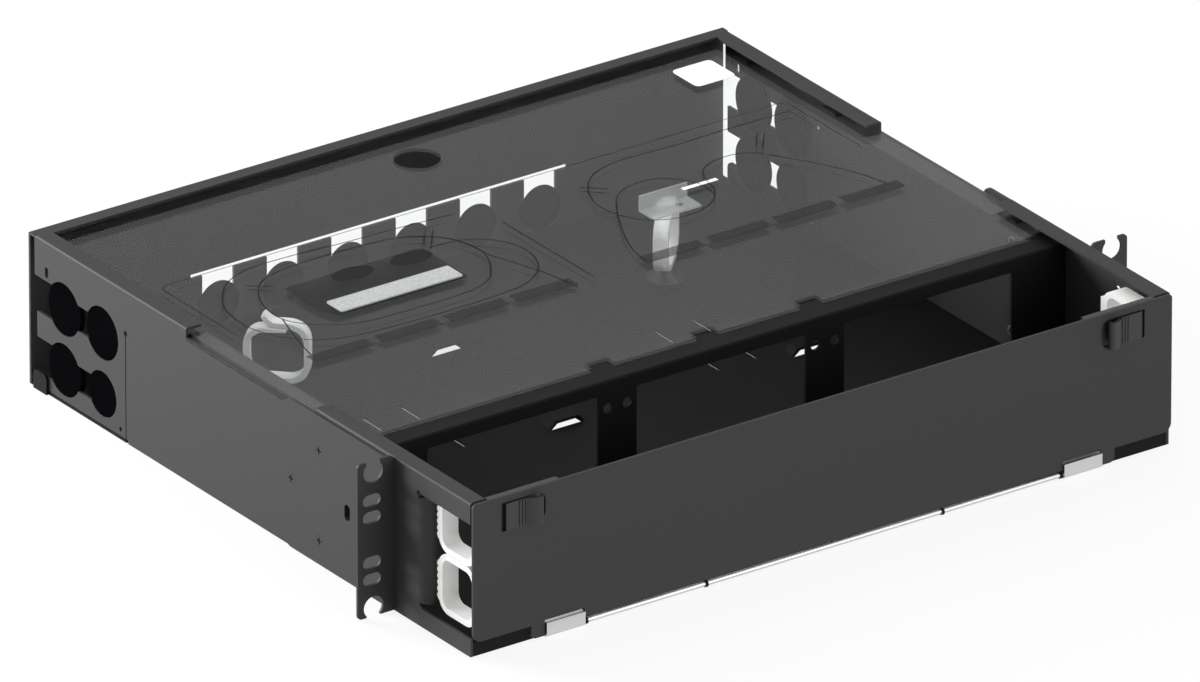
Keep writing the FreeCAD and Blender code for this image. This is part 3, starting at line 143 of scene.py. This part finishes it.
@dataclass(frozen=True)
class Finish:
    """An opaque or clear surface with a mottled colour, a roughness and a fine relief."""

    name: str
    colour: str
    shade: str
    roughness: float
    spread: float
    grain_mm: float
    relief_mm: float
    patch_mm: float = 60.0
    patch_share: float = 0.35
    grain: Grain = Grain.EVEN
    metallic: float = 0.0
    ior: float = 1.5
    specular: float = 0.5
    transmission: float = 0.0
    subsurface: float = 0.0
    alpha: float = 1.0
    coat: float = 0.0

    def build(self) -> bpy.types.Material:
        """Makes the node material.

        Returns:
            The finished material.
        """
        material = bpy.data.materials.new(self.name)
        material.use_nodes = True
        tree = material.node_tree
        shader = tree.nodes["Principled BSDF"]
        shader.inputs["Metallic"].default_value = self.metallic
        if self.metallic == 0.0:
            shader.inputs["IOR"].default_value = self.ior
        shader.inputs["Specular IOR Level"].default_value = self.specular
        shader.inputs["Transmission Weight"].default_value = self.transmission
        shader.inputs["Subsurface Weight"].default_value = self.subsurface
        shader.inputs["Subsurface Scale"].default_value = GLOW_DEPTH_MM * MM
        shader.inputs["Alpha"].default_value = self.alpha
        shader.inputs["Coat Weight"].default_value = self.coat
        shader.inputs["Coat Roughness"].default_value = COAT_ROUGHNESS
        place = add_node(tree, "ShaderNodeTexCoord")
        stretch = add_node(tree, "ShaderNodeMapping", {"Scale": self.grain.value},
                           {"Vector": (place, "Object")})
        fine = add_node(tree, "ShaderNodeTexNoise",
                        {"Scale": 1 / MM / self.grain_mm, "Detail": FINE_DETAIL,
                         "Roughness": FINE_ROUGHNESS},
                        {"Vector": (stretch, "Vector")})
        broad = add_node(tree, "ShaderNodeTexNoise",
                         {"Scale": 1 / MM / self.patch_mm, "Detail": BROAD_DETAIL},
                         {"Vector": (stretch, "Vector")})
        mottle = add_node(tree, "ShaderNodeMapRange",
                          {"From Min": MOTTLE_LOW, "From Max": MOTTLE_HIGH,
                           "To Max": self.patch_share},
                          {"Value": (broad, "Fac")})
        tint = add_node(tree, "ShaderNodeMixRGB",
                        {"Color1": linear(self.colour), "Color2": linear(self.shade)},
                        {"Fac": (mottle, "Result")})
        shine = add_node(tree, "ShaderNodeMapRange",
                         {"To Min": self.roughness - self.spread,
                          "To Max": self.roughness + self.spread},
                         {"Value": (fine, "Fac")})
        relief = add_node(tree, "ShaderNodeBump",
                          {"Strength": 1.0, "Distance": self.relief_mm * MM},
                          {"Height": (fine, "Fac")})
        tree.links.new(tint.outputs["Color"], shader.inputs["Base Color"])
        tree.links.new(shine.outputs["Result"], shader.inputs["Roughness"])
        tree.links.new(relief.outputs["Normal"], shader.inputs["Normal"])
        return material


class Finishes:
    """Every finish of the panel, each built once."""

    def __init__(self) -> None:
        """Builds the materials."""
        # Grain and patch sizes are millimetres. A grain finer than the render can show, as on the
        # mouldings and the film, is drawn coarse enough to break up the shine.
        # Steel sheet in fine black powder coat: a dull dark grey skin, sandy under a low light
        self.powder_coat = Finish(
            "powder_coated_steel", "#0E0E0F", "#0A0A0B", roughness=0.68, spread=0.06,
            grain_mm=0.45, relief_mm=0.012, patch_mm=90, specular=0.5).build()
        # The same coat inside the bays, with a darker colour and a weaker shine that paint the shade of the
        # bays
        self.shaded_inner_coat = Finish(
            "powder_coated_steel_painted_shade", "#080809", "#060607", roughness=0.7, spread=0.05,
            grain_mm=0.45, relief_mm=0.012, patch_mm=90, specular=0.12).build()
        # Polycarbonate sheet, extruded and polished: clear and smooth, it mirrors the room. The
        # sheet is thin and flat, so rays go straight through at an IOR of 1 and nothing is seen
        # twice. The coat gives the shine that an IOR of 1.58 would, and the alpha the grey veil.
        self.clear_sheet = Finish(
            "polished_polycarbonate", "#E9ECEC", "#E4E8E8", roughness=0.03, spread=0.01,
            grain_mm=30.0, relief_mm=0.0, ior=1.0, transmission=1.0, alpha=0.5,
            coat=0.75).build()
        # Screen ink on the clear sheet: dark and flat
        self.screen_ink = Finish(
            "screen_printed_ink", "#080809", "#060607", roughness=0.7, spread=0.05,
            grain_mm=0.8, relief_mm=0.004, specular=0.15).build()
        # The same ink in a thin tint, which the inside shows through
        self.thin_ink = Finish(
            "screen_printed_tint", "#0C0C0D", "#0A0A0B", roughness=0.6, spread=0.05,
            grain_mm=0.8, relief_mm=0.004, specular=0.25, alpha=0.7).build()
        # ABS, injection moulded in a spark-eroded tool: black with a soft even sheen
        self.moulded_abs = Finish(
            "moulded_abs", "#101011", "#0C0C0D", roughness=0.5, spread=0.05,
            grain_mm=0.35, relief_mm=0.01, patch_mm=25).build()
        # Rubber, compression moulded: deep black and dull
        self.moulded_rubber = Finish(
            "moulded_rubber", "#060607", "#040405", roughness=0.8, spread=0.06,
            grain_mm=0.5, relief_mm=0.01, patch_mm=20, specular=0.0).build()
        # Nylon, injection moulded, natural: milky white with a slight glow in thin parts
        self.nylon = Finish(
            "moulded_nylon", "#F1F1EF", "#E3E3E0", roughness=0.42, spread=0.06,
            grain_mm=0.7, relief_mm=0.012, patch_mm=14, subsurface=0.15).build()
        # Mild steel, zinc plated: a bright grey drawn along its length
        self.zinc_steel = Finish(
            "zinc_plated_steel", "#C9CACB", "#AEB0B2", roughness=0.32, spread=0.07,
            grain_mm=0.6, relief_mm=0.004, patch_mm=9, grain=Grain.ACROSS,
            metallic=1.0).build()
        # Polyester film, white and matt
        self.film = Finish(
            "white_polyester_film", "#F4F4F2", "#ECECEA", roughness=0.35, spread=0.04,
            grain_mm=0.6, relief_mm=0.003, patch_mm=12).build()
        # Laminate plate, sand blasted: light grey with fine dark specks
        self.laminate = Finish(
            "speckled_laminate", "#8F9492", "#B9BCBA", roughness=0.5, spread=0.08,
            grain_mm=0.6, relief_mm=0.02, patch_mm=1.1, patch_share=1.0).build()
        # Polypropylene, moulded thin: grey and half clear
        self.clear_grey = Finish(
            "moulded_polypropylene", "#B4B7B6", "#9DA1A0", roughness=0.4, spread=0.06,
            grain_mm=0.8, relief_mm=0.01, patch_mm=8, alpha=0.5).build()


def dress(material: bpy.types.Material, *nodes: str) -> None:
    """Gives CAD nodes a material.

    Args:
        material: The finish.
        *nodes: Names of the nodes.
    """
    for name in nodes:
        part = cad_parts[name]
        if not part.material_slots:
            part.data.materials.append(material)
        for slot in part.material_slots:
            slot.link = "OBJECT"
            slot.material = material
        log.info("dressed %s in %s", name, material.name)


def add_piece(name: str, shape: bmesh.types.BMesh, material: bpy.types.Material, body: str) -> bpy.types.Object:
    """Turns a mesh in the frame's metres into a piece that rides on a body.

    Args:
        name: The piece's name.
        shape: Its mesh, which is freed.
        material: Its finish.
        body: The CAD body that it moves with.

    Returns:
        The new piece.
    """
    bmesh.ops.recalc_face_normals(shape, faces=shape.faces)
    mesh = bpy.data.meshes.new(name)
    shape.to_mesh(mesh)
    shape.free()
    mesh.materials.append(material)
    piece = bpy.data.objects.new(name, mesh)
    bpy.context.collection.objects.link(piece)
    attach(piece, body)
    log.info("made %s", name)
    return piece


def smooth_line(points: list[tuple[float, float]], closed: bool, steps: int = 10) -> list[Vector]:
    """Leads an even curve through points in the cover's plane.

    Args:
        points: Places (across, back) in millimetres.
        closed: Whether the line returns to its start.
        steps: Pieces between two points.

    Returns:
        Points along the curve.
    """
    spots = [Vector(point) for point in points]
    count = len(spots)
    line = []
    for index in range(count if closed else count - 1):
        before, start, end, after = (
            spots[(index + step) % count] if closed else spots[min(max(index + step, 0), count - 1)]
            for step in (-1, 0, 1, 2))
        for step in range(steps):
            t = step / steps
            line.append(0.5 * (2 * start + (end - before) * t
                               + (2 * before - 5 * start + 4 * end - after) * t ** 2
                               + (3 * start - before - 3 * end + after) * t ** 3))
    if not closed:
        line.append(spots[-1])
    return line


@dataclass
class CoverPrint:
    """The routing diagram printed on the clear cover: fibre loops, splice places and marks."""

    top: float = 83.0
    film: float = 0.04
    line_width: float = 0.75
    border_width: float = 0.5
    mark_width: float = 0.7
    block_length: float = 37.0
    block_width: float = 9.0
    block_pitch: float = 42.3
    block_row: float = 205.0
    block_count: int = 4
    block_starts: tuple[float, float] = (53.8, 261.2)
    bar: tuple[tuple[float, float], ...] = ((309.6, 146.1), (331.5, 146.1))
    bar_width: float = 3.0
    window_lift: float = 0.02
    window: tuple[tuple[float, float], ...] = (
        (72.0, 129.0), (75.0, 126.6), (156.0, 126.6), (158.5, 129.0), (158.5, 168.0),
        (156.0, 170.0), (77.0, 170.0), (72.0, 160.0))
    disc_lift: float = 0.05
    disc_steps: int = 40
    disc_radii: tuple[float, float] = (12.5, 7.0)
    disc_middles: tuple[tuple[float, float], ...] = ((112.0, 132.0), (147.0, 134.0))
    loops: dict[str, list[tuple[float, float]]] = field(default_factory=lambda: {
        "outer": [(30.6, 154.3), (32.3, 135.1), (39.3, 119.5), (52.5, 104.6), (70.9, 97.1),
                  (96.5, 96.5), (126.3, 98.9), (159.9, 100.3), (195.7, 103.1)],
        "outer_low": [(30.6, 154.3), (37.0, 171.9), (51.2, 187.5), (68.6, 194.1), (90.5, 196.5),
                      (129.1, 197.7), (161.5, 196.3), (179.9, 192.5), (194.6, 180.6),
                      (200.9, 162.7), (197.4, 145.3), (186.6, 133.9), (175.0, 130.3),
                      (161.5, 129.3)],
        "crossing": [(158.4, 111.4), (172.2, 120.8), (179.2, 133.2), (182.5, 155.3),
                     (188.0, 172.2), (193.6, 191.0), (197.0, 212.0)],
        "lead_in": [(50.9, 156.7), (46.0, 172.0), (41.8, 186.0), (38.5, 200.4)],
        "right_loop": [(412.0, 99.6), (370.8, 99.1), (340.7, 100.0), (316.7, 98.9),
                       (297.5, 99.5), (280.2, 106.3), (268.8, 119.5), (262.6, 136.5),
                       (264.6, 152.8), (273.0, 166.3), (286.2, 173.1), (300.7, 173.1),
                       (313.9, 167.1), (322.7, 156.3), (325.5, 146.7), (328.5, 138.2),
                       (334.0, 131.4), (344.5, 126.9), (358.0, 127.0), (367.0, 132.4),
                       (375.4, 145.0), (387.4, 164.8), (396.0, 184.4), (400.0, 200.5)],
        "right_lead": [(320.1, 160.0), (320.3, 145.2), (313.7, 134.2), (304.1, 127.4),
                       (289.4, 127.2), (277.0, 133.9), (266.4, 148.9), (254.4, 171.1),
                       (246.8, 189.8), (244.0, 206.0)],
    })
    inner_loop: list[tuple[float, float]] = field(default_factory=lambda: [
        (59.5, 122.6), (70.7, 111.9), (88.0, 107.2), (108.2, 106.6), (138.9, 107.8),
        (158.4, 111.4), (172.2, 120.8), (179.7, 134.7), (181.1, 150.6), (172.9, 169.0),
        (160.6, 180.8), (142.7, 185.0), (115.8, 185.3), (88.1, 184.4), (70.2, 178.5),
        (57.9, 169.1), (50.9, 156.7), (51.6, 140.1)])
    border: list[tuple[float, float]] = field(default_factory=lambda: [
        (20.6, 160.0), (20.6, 92.0), (24.0, 88.8), (211.0, 88.8), (411.0, 88.8), (415.5, 92.0),
        (415.5, 158.0)])
    marks: list[tuple[float, float, float, float]] = field(default_factory=lambda: [
        (58.0, 112.9, 69.8, 122.4), (56.0, 116.3, 66.8, 126.7),
        (267.0, 113.9, 278.2, 123.5), (264.0, 116.7, 274.8, 127.9),
        (172.0, 111.0, 162.0, 123.5), (175.5, 113.0, 165.5, 125.5),
        (380.6, 113.2, 371.0, 125.0), (383.6, 115.0, 374.0, 127.0),
        (210.5, 125.1, 210.9, 208.5)])

    def place(self, point: Vector, up: float) -> Vector:
        """Gives a point of the printed face, where back counts from the rear."""
        return spot(point.x, CHASSIS_DEPTH - point.y, up)

    def add_ribbon(self, shape: bmesh.types.BMesh, line: list[Vector], width: float,
                   closed: bool) -> None:
        """Adds a flat ribbon along a line.

        Args:
            shape: The mesh that takes it.
            line: Points along the middle.
            width: The ribbon's width in millimetres.
            closed: Whether the last point joins the first.
        """
        rows = []
        for index, point in enumerate(line):
            before = line[index - 1] if closed or index else point
            after = line[(index + 1) % len(line)] if closed or index < len(line) - 1 else point
            heading = (after - before).normalized()
            side = Vector((-heading.y, heading.x)) * width / 2
            rows.append([shape.verts.new(self.place(point + side * sign, self.top + self.film))
                         for sign in (-1, 1)])
        for index in range(len(rows) if closed else len(rows) - 1):
            near, far = rows[index], rows[(index + 1) % len(rows)]
            shape.faces.new((near[0], near[1], far[1], far[0]))

    def add_disc(self, shape: bmesh.types.BMesh, middle: tuple[float, float]) -> None:
        """Adds a flat oval.

        Args:
            shape: The mesh that takes it.
            middle: Its centre (across, back from the rear).
        """
        ring = []
        for step in range(self.disc_steps):
            turn = step * math.tau / self.disc_steps
            point = Vector((middle[0] + self.disc_radii[0] * math.cos(turn),
                            middle[1] + self.disc_radii[1] * math.sin(turn)))
            ring.append(shape.verts.new(self.place(point, self.top + self.disc_lift)))
        shape.faces.new(ring)

    def build(self, finishes: Finishes) -> None:
        """Makes the printed lines, the splice blocks, the tinted window and the white bar.

        Args:
            finishes: The panel's finishes.
        """
        lines = bmesh.new()
        for points in self.loops.values():
            self.add_ribbon(lines, smooth_line(points, False), self.line_width, False)
        self.add_ribbon(lines, smooth_line(self.inner_loop, True), self.line_width, True)
        self.add_ribbon(lines, [Vector(point) for point in self.border],
                        self.border_width, False)
        for x0, y0, x1, y1 in self.marks:
            self.add_ribbon(lines, [Vector((x0, y0)), Vector((x1, y1))], self.mark_width, False)
        add_piece("routing_lines", lines, finishes.screen_ink, "cover")
        blocks = bmesh.new()
        for start in self.block_starts:
            for step in range(self.block_count):
                middle = start + step * self.block_pitch
                ends = [Vector((middle + sign * self.block_length / 2, self.block_row))
                        for sign in (-1, 1)]
                self.add_ribbon(blocks, ends, self.block_width, False)
        add_piece("splice_blocks", blocks, finishes.thin_ink, "cover")
        window = bmesh.new()
        window.faces.new([window.verts.new(self.place(Vector(corner), self.top + self.window_lift))
                          for corner in self.window])
        add_piece("tinted_window", window, finishes.thin_ink, "cover")
        discs = bmesh.new()
        for middle in self.disc_middles:
            self.add_disc(discs, middle)
        add_piece("window_discs", discs, finishes.screen_ink, "cover")
        bar = bmesh.new()
        self.add_ribbon(bar, [Vector(point) for point in self.bar], self.bar_width, False)
        add_piece("index_bar", bar, finishes.film, "cover")


@dataclass
class ClearCover:
    """The sliding clear cover with its print, blank label, grey plate and small bracket."""

    diagram: CoverPrint = field(default_factory=CoverPrint)

    def build(self, finishes: Finishes) -> None:
        """Dresses the cover and adds its print.

        Args:
            finishes: The panel's finishes.
        """
        dress(finishes.clear_sheet, "top_cover")
        dress(finishes.film, "cover_label")
        dress(finishes.laminate, "cover_strip")
        dress(finishes.clear_grey, "cover_bracket")
        self.diagram.build(finishes)


@dataclass
class FibreRing:
    """A moulded ring that guides fibres: one open band whose end snaps over its own tongue."""

    side: str
    across: float
    turn: float
    back: float = 311.0
    foot_level: float = 1.5
    foot_height: float = 7.8
    foot_outline: tuple[tuple[float, float], ...] = (
        (10.5, 0.0), (10.3, 0.4), (8.0, 1.1), (6.0, 2.6), (4.7, 4.6), (4.0, 7.8))
    width: float = 35.0
    height: float = 34.0
    depth: float = 8.0
    band: float = 3.0
    tongue_band: float = 2.2
    tip_band: float = 2.4
    corner: float = 8.5
    tongue_drop: float = 2.9
    tongue_end: float = 22.5
    finger_start: float = 15.5
    finger_end: float = 10.2
    finger_rise: float = 4.9
    bevel: float = 0.5
    bend_steps: int = 6
    foot_steps: int = 32

    def corner_points(self, middle: tuple[float, float],
                      first: float) -> list[tuple[float, float, float]]:
        """Gives the middle line of one rounded corner, anticlockwise.

        Args:
            middle: The corner's centre in the ring's plane.
            first: Angle in degrees at which it starts.

        Returns:
            Places with the band's thickness.
        """
        points = []
        for step in range(self.bend_steps + 1):
            turn = math.radians(first + 90.0 * step / self.bend_steps)
            points.append((middle[0] + self.corner * math.cos(turn),
                           middle[1] + self.corner * math.sin(turn), self.band))
        return points

    def middle_line(self) -> list[tuple[float, float, float]]:
        """Leads the band from the tongue round to the finger's tip.

        Returns:
            Places in the ring's plane with the band's thickness.
        """
        low = self.band / 2 + self.corner
        right = self.width - low
        high = self.height - low
        tongue = self.height - self.band / 2 - self.tongue_drop
        line = [(self.tongue_end, tongue, self.tongue_band), (low, tongue, self.tongue_band)]
        line += self.corner_points((low, tongue - self.corner), 90.0)[1:]
        line += self.corner_points((low, low), 180.0)
        line += self.corner_points((right, low), 270.0)
        line += self.corner_points((right, high), 0.0)
        top = self.height - self.band / 2
        for step in range(self.bend_steps + 1):
            share = step / self.bend_steps
            line.append((self.finger_start + (self.finger_end - self.finger_start) * share,
                         top + self.finger_rise * share * share * (2 - share),
                         self.band + (self.tip_band - self.band) * share))
        return line

    def build_band(self, finishes: Finishes) -> None:
        """Makes the ring in place of the plain one.

        Args:
            finishes: The panel's finishes.
        """
        line = self.middle_line()
        left, right = [], []
        for index, (along, up, band) in enumerate(line):
            before, after = line[max(index - 1, 0)], line[min(index + 1, len(line) - 1)]
            heading = Vector((after[0] - before[0], after[1] - before[1])).normalized()
            side = Vector((-heading.y, heading.x)) * band / 2
            left.append(Vector((along, up)) + side)
            right.append(Vector((along, up)) - side)
        outline = left + right[::-1]
        shape = bmesh.new()
        caps = []
        for level in (-self.depth / 2, self.depth / 2):
            caps.append([shape.verts.new(self.place(point, level)) for point in outline])
        shape.faces.new(caps[0])
        shape.faces.new(caps[1][::-1])
        rims = []
        for index, vertex in enumerate(caps[0]):
            following = (index + 1) % len(outline)
            face = shape.faces.new((vertex, caps[1][index], caps[1][following],
                                    caps[0][following]))
            face.smooth = index not in (len(left) - 1, len(outline) - 1)
            rims += [edge for edge in face.edges if len({v in caps[0] for v in edge.verts}) == 1]
        bmesh.ops.bevel(shape, geom=list(set(rims)), offset=self.bevel * MM, segments=2,
                        affect="EDGES")
        ring = add_piece(f"fibre_guide_{self.side}", shape, finishes.nylon, "chassis")
        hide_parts(f"fibre_ring_{self.side}")

    def place(self, point: Vector, level: float) -> Vector:
        """Puts a place of the ring's plane into the frame."""
        along = point.x - self.width / 2
        turn = math.radians(self.turn)
        return spot(self.across + along * math.cos(turn) + level * math.sin(turn),
                    self.back + along * math.sin(turn) - level * math.cos(turn),
                    self.foot_level + self.foot_height + point.y)

    def build_foot(self, finishes: Finishes) -> None:
        """Makes the flared foot.

        Args:
            finishes: The panel's finishes.
        """
        shape = bmesh.new()
        count = self.foot_steps
        rows = []
        for radius, up in self.foot_outline:
            rows.append([shape.verts.new(spot(
                self.across + radius * math.cos(math.tau * step / count),
                self.back + radius * math.sin(math.tau * step / count), self.foot_level + up))
                for step in range(count)])
        for low, high in zip(rows, rows[1:]):
            for step in range(count):
                following = (step + 1) % count
                face = shape.faces.new((low[step], low[following], high[following], high[step]))
                face.smooth = True
        shape.faces.new(rows[0][::-1])
        shape.faces.new(rows[-1])
        add_piece(f"fibre_guide_foot_{self.side}", shape, finishes.moulded_abs, "chassis")

    def build(self, finishes: Finishes) -> None:
        """Makes the ring and its foot.

        Args:
            finishes: The panel's finishes.
        """
        self.build_band(finishes)
        self.build_foot(finishes)


@dataclass
class Chassis:
    """The steel chassis with everything that is fixed to it."""

    sheets: tuple[str, ...] = ("side_wall_left", "side_wall_right", "rear_wall_lower",
                               "rear_wall_upper", "rack_bracket_left", "rack_bracket_right")
    rail_width: float = 13.3
    rail_gauge: float = 1.4
    rail_top: float = 80.8
    rail_start: float = 138.5
    rail_end: float = 254.0
    rail_bevel: float = 0.2
    rings: tuple[FibreRing, ...] = (FibreRing("left", across=95.7, turn=-45.0),
                                    FibreRing("right", across=341.0, turn=45.0))

    def build(self, finishes: Finishes) -> None:
        """Dresses the chassis and adds its fibre rings and cover rails.

        Args:
            finishes: The panel's finishes.
        """
        dress(finishes.powder_coat, *self.sheets)
        # The bay floor and bulkhead take the darker, duller copy of the coat: painted shade
        dress(finishes.shaded_inner_coat, "bulkhead", "chassis_floor")
        dress(finishes.moulded_rubber, "port_plugs_left", "port_plugs_right", "rear_port_plugs")
        for side in ("left", "right"):
            dress(finishes.powder_coat, f"bracket_screws_{side}")
            dress(finishes.zinc_steel, f"bracket_nuts_{side}")
            dress(finishes.nylon, f"fibre_ring_{side}", f"cable_ring_{side}_lower",
                  f"cable_ring_{side}_upper")
        dress(finishes.zinc_steel, "hinge_rod")
        for ring in self.rings:
            ring.build(finishes)
        self.build_rail(finishes, "left", 0.0, self.rail_width)
        self.build_rail(finishes, "right", CHASSIS_WIDTH - self.rail_width, CHASSIS_WIDTH)

    def build_rail(self, finishes: Finishes, side: str, start: float, end: float) -> None:
        """Makes the flat rail that carries the cover between the two flanges of a side.

        Args:
            finishes: The panel's finishes.
            side: Which side it is on.
            start: Its left edge in millimetres across.
            end: Its right edge.
        """
        shape = bmesh.new()
        low, high = self.rail_top - self.rail_gauge, self.rail_top
        corners = ((start, self.rail_start), (end, self.rail_start), (end, self.rail_end),
                   (start, self.rail_end))
        bottom = [shape.verts.new(spot(across, back, low)) for across, back in corners]
        top = [shape.verts.new(spot(across, back, high)) for across, back in corners]
        shape.faces.new(bottom[::-1])
        shape.faces.new(top)
        for index in range(4):
            following = (index + 1) % 4
            shape.faces.new((bottom[index], bottom[following], top[following], top[index]))
        bmesh.ops.bevel(shape, geom=shape.edges[:], offset=self.rail_bevel * MM, segments=2,
                        affect="EDGES")
        add_piece(f"cover_rail_{side}", shape, finishes.powder_coat, "chassis")


@dataclass
class FrontDoor:
    """The fold-down door with its hinge clips and latches."""

    def build(self, finishes: Finishes) -> None:
        """Dresses the door.

        Args:
            finishes: The panel's finishes.
        """
        dress(finishes.powder_coat, "front_door")
        for side in ("left", "right"):
            dress(finishes.zinc_steel, f"hinge_clip_{side}")
            dress(finishes.moulded_abs, f"latch_slide_{side}", f"latch_housing_{side}")


@dataclass
class Lamp:
    """One soft square light that faces the panel."""

    name: str
    azimuth: float
    elevation: float
    distance: float
    size: float
    watts: float

    def build(self) -> None:
        """Hangs the light."""
        back = outward(self.azimuth, self.elevation)
        data = bpy.data.lights.new(self.name, "AREA")
        data.size = self.size
        data.energy = self.watts
        lamp = bpy.data.objects.new(self.name, data)
        lamp.location = back * self.distance
        lamp.rotation_mode = "QUATERNION"
        lamp.rotation_quaternion = back.to_track_quat("Z", "Y")
        bpy.context.collection.objects.link(lamp)
        log.info("hung %s", self.name)


@dataclass
class Studio:
    """A white room: pale floor, soft lamps and an even sky."""

    floor_half: float = 6.0
    floor_drop: float = 0.4 * MM
    floor_colour: str = "#F2F2F2"
    floor_roughness: float = 0.9
    floor_glow: float = 0.85
    sky: float = 0.75
    lamps: tuple[Lamp, ...] = (
        Lamp("key_left", azimuth=-146.0, elevation=12.0, distance=1.8, size=1.0, watts=75.0),
        Lamp("fill_front", azimuth=10.0, elevation=14.0, distance=2.2, size=1.4, watts=30.0),
        Lamp("top_soft", azimuth=150.0, elevation=65.0, distance=2.0, size=1.6, watts=4.0),
    )

    def build_floor(self) -> None:
        """Lays the pale floor just under the panel. It keeps its shadow and is seen near white."""
        shape = bmesh.new()
        half = self.floor_half
        shape.faces.new([shape.verts.new((x, y, -self.floor_drop)) for x, y in
                         ((-half, -half), (half, -half), (half, half), (-half, half))])
        mesh = bpy.data.meshes.new("studio_floor")
        shape.to_mesh(mesh)
        shape.free()
        material = bpy.data.materials.new("pale_floor")
        material.use_nodes = True
        tree = material.node_tree
        shader = tree.nodes["Principled BSDF"]
        shader.inputs["Base Color"].default_value = linear(self.floor_colour)
        shader.inputs["Roughness"].default_value = self.floor_roughness
        glow = add_node(tree, "ShaderNodeEmission", {"Color": (1, 1, 1, 1), "Strength": 1.0})
        seen = see_directly(tree)
        share = add_node(tree, "ShaderNodeMath", {1: self.floor_glow}, {0: (seen, "Value")},
                         operation="MULTIPLY")
        mix = add_node(tree, "ShaderNodeMixShader", None, {"Fac": (share, "Value")})
        tree.links.new(shader.outputs["BSDF"], mix.inputs[1])
        tree.links.new(glow.outputs["Emission"], mix.inputs[2])
        tree.links.new(mix.outputs["Shader"], tree.nodes["Material Output"].inputs["Surface"])
        mesh.materials.append(material)
        floor = bpy.data.objects.new("studio_floor", mesh)
        bpy.context.collection.objects.link(floor)

    def build_sky(self) -> None:
        """Makes the even sky, white where it is seen."""
        world = bpy.data.worlds.new("studio_sky")
        bpy.context.scene.world = world
        world.use_nodes = True
        tree = world.node_tree
        tree.nodes.clear()
        seen = see_directly(tree)
        strength = add_node(tree, "ShaderNodeMapRange", {"To Min": self.sky, "To Max": 1.0},
                            {"Value": (seen, "Value")})
        sky = add_node(tree, "ShaderNodeBackground", {"Color": (1, 1, 1, 1)},
                       {"Strength": (strength, "Result")})
        add_node(tree, "ShaderNodeOutputWorld", None, {"Surface": (sky, "Background")})

    def build(self) -> None:
        """Sets up the room."""
        self.build_floor()
        self.build_sky()
        for lamp in self.lamps:
            lamp.build()


def see_directly(tree: bpy.types.NodeTree) -> bpy.types.Node:
    """Adds the test for a ray that comes from the camera, a reflection or a clear piece.

    Args:
        tree: The tree that takes the nodes.

    Returns:
        The node whose value is 1 for such a ray.
    """
    path = add_node(tree, "ShaderNodeLightPath")
    either = add_node(tree, "ShaderNodeMath", None,
                      {0: (path, "Is Camera Ray"), 1: (path, "Is Glossy Ray")},
                      operation="MAXIMUM")
    return add_node(tree, "ShaderNodeMath", None,
                    {0: (either, "Value"), 1: (path, "Is Transmission Ray")},
                    operation="MAXIMUM")


@dataclass
class PhotoCamera:
    """A long lens at the photograph's angle.

    A lens much over 950 mm would put the other views' camera beyond the range that they clip at.
    """

    azimuth: float = -35.12
    elevation: float = 25.28
    lens: float = 940.0
    sensor: float = 36.0
    seen_width: float = 0.6180
    shift_right: float = 1.04 * MM
    shift_down: float = 1.85 * MM
    clip_reach: float = 3.0

    def build(self) -> None:
        """Sets the scene's camera."""
        back = outward(self.azimuth, self.elevation)
        data = bpy.data.cameras.new("photo_camera")
        data.sensor_width = self.sensor
        data.lens = self.lens
        camera = bpy.data.objects.new("photo_camera", data)
        bpy.context.collection.objects.link(camera)
        camera.rotation_mode = "QUATERNION"
        camera.rotation_quaternion = back.to_track_quat("Z", "Y")
        right = camera.rotation_quaternion @ Vector((1, 0, 0))
        up = camera.rotation_quaternion @ Vector((0, 1, 0))
        middle = spot(CHASSIS_WIDTH / 2, CHASSIS_DEPTH / 2, CHASSIS_HEIGHT / 2)
        distance = self.seen_width * self.lens / self.sensor
        camera.location = (middle + back * distance + right * self.shift_right
                           - up * self.shift_down)
        data.clip_end = distance * self.clip_reach
        bpy.context.scene.camera = camera
        log.info("camera %.2f m away", distance)


def main() -> None:
    """Builds the look of the panel."""
    logging.basicConfig(level=logging.INFO, format="%(name)s: %(message)s")
    bpy.context.scene.view_settings.view_transform = "Standard"
    finishes = Finishes()
    Chassis().build(finishes)
    ClearCover().build(finishes)
    FrontDoor().build(finishes)
    Studio().build()
    PhotoCamera().build()


if __name__ == "__main__":
    main()
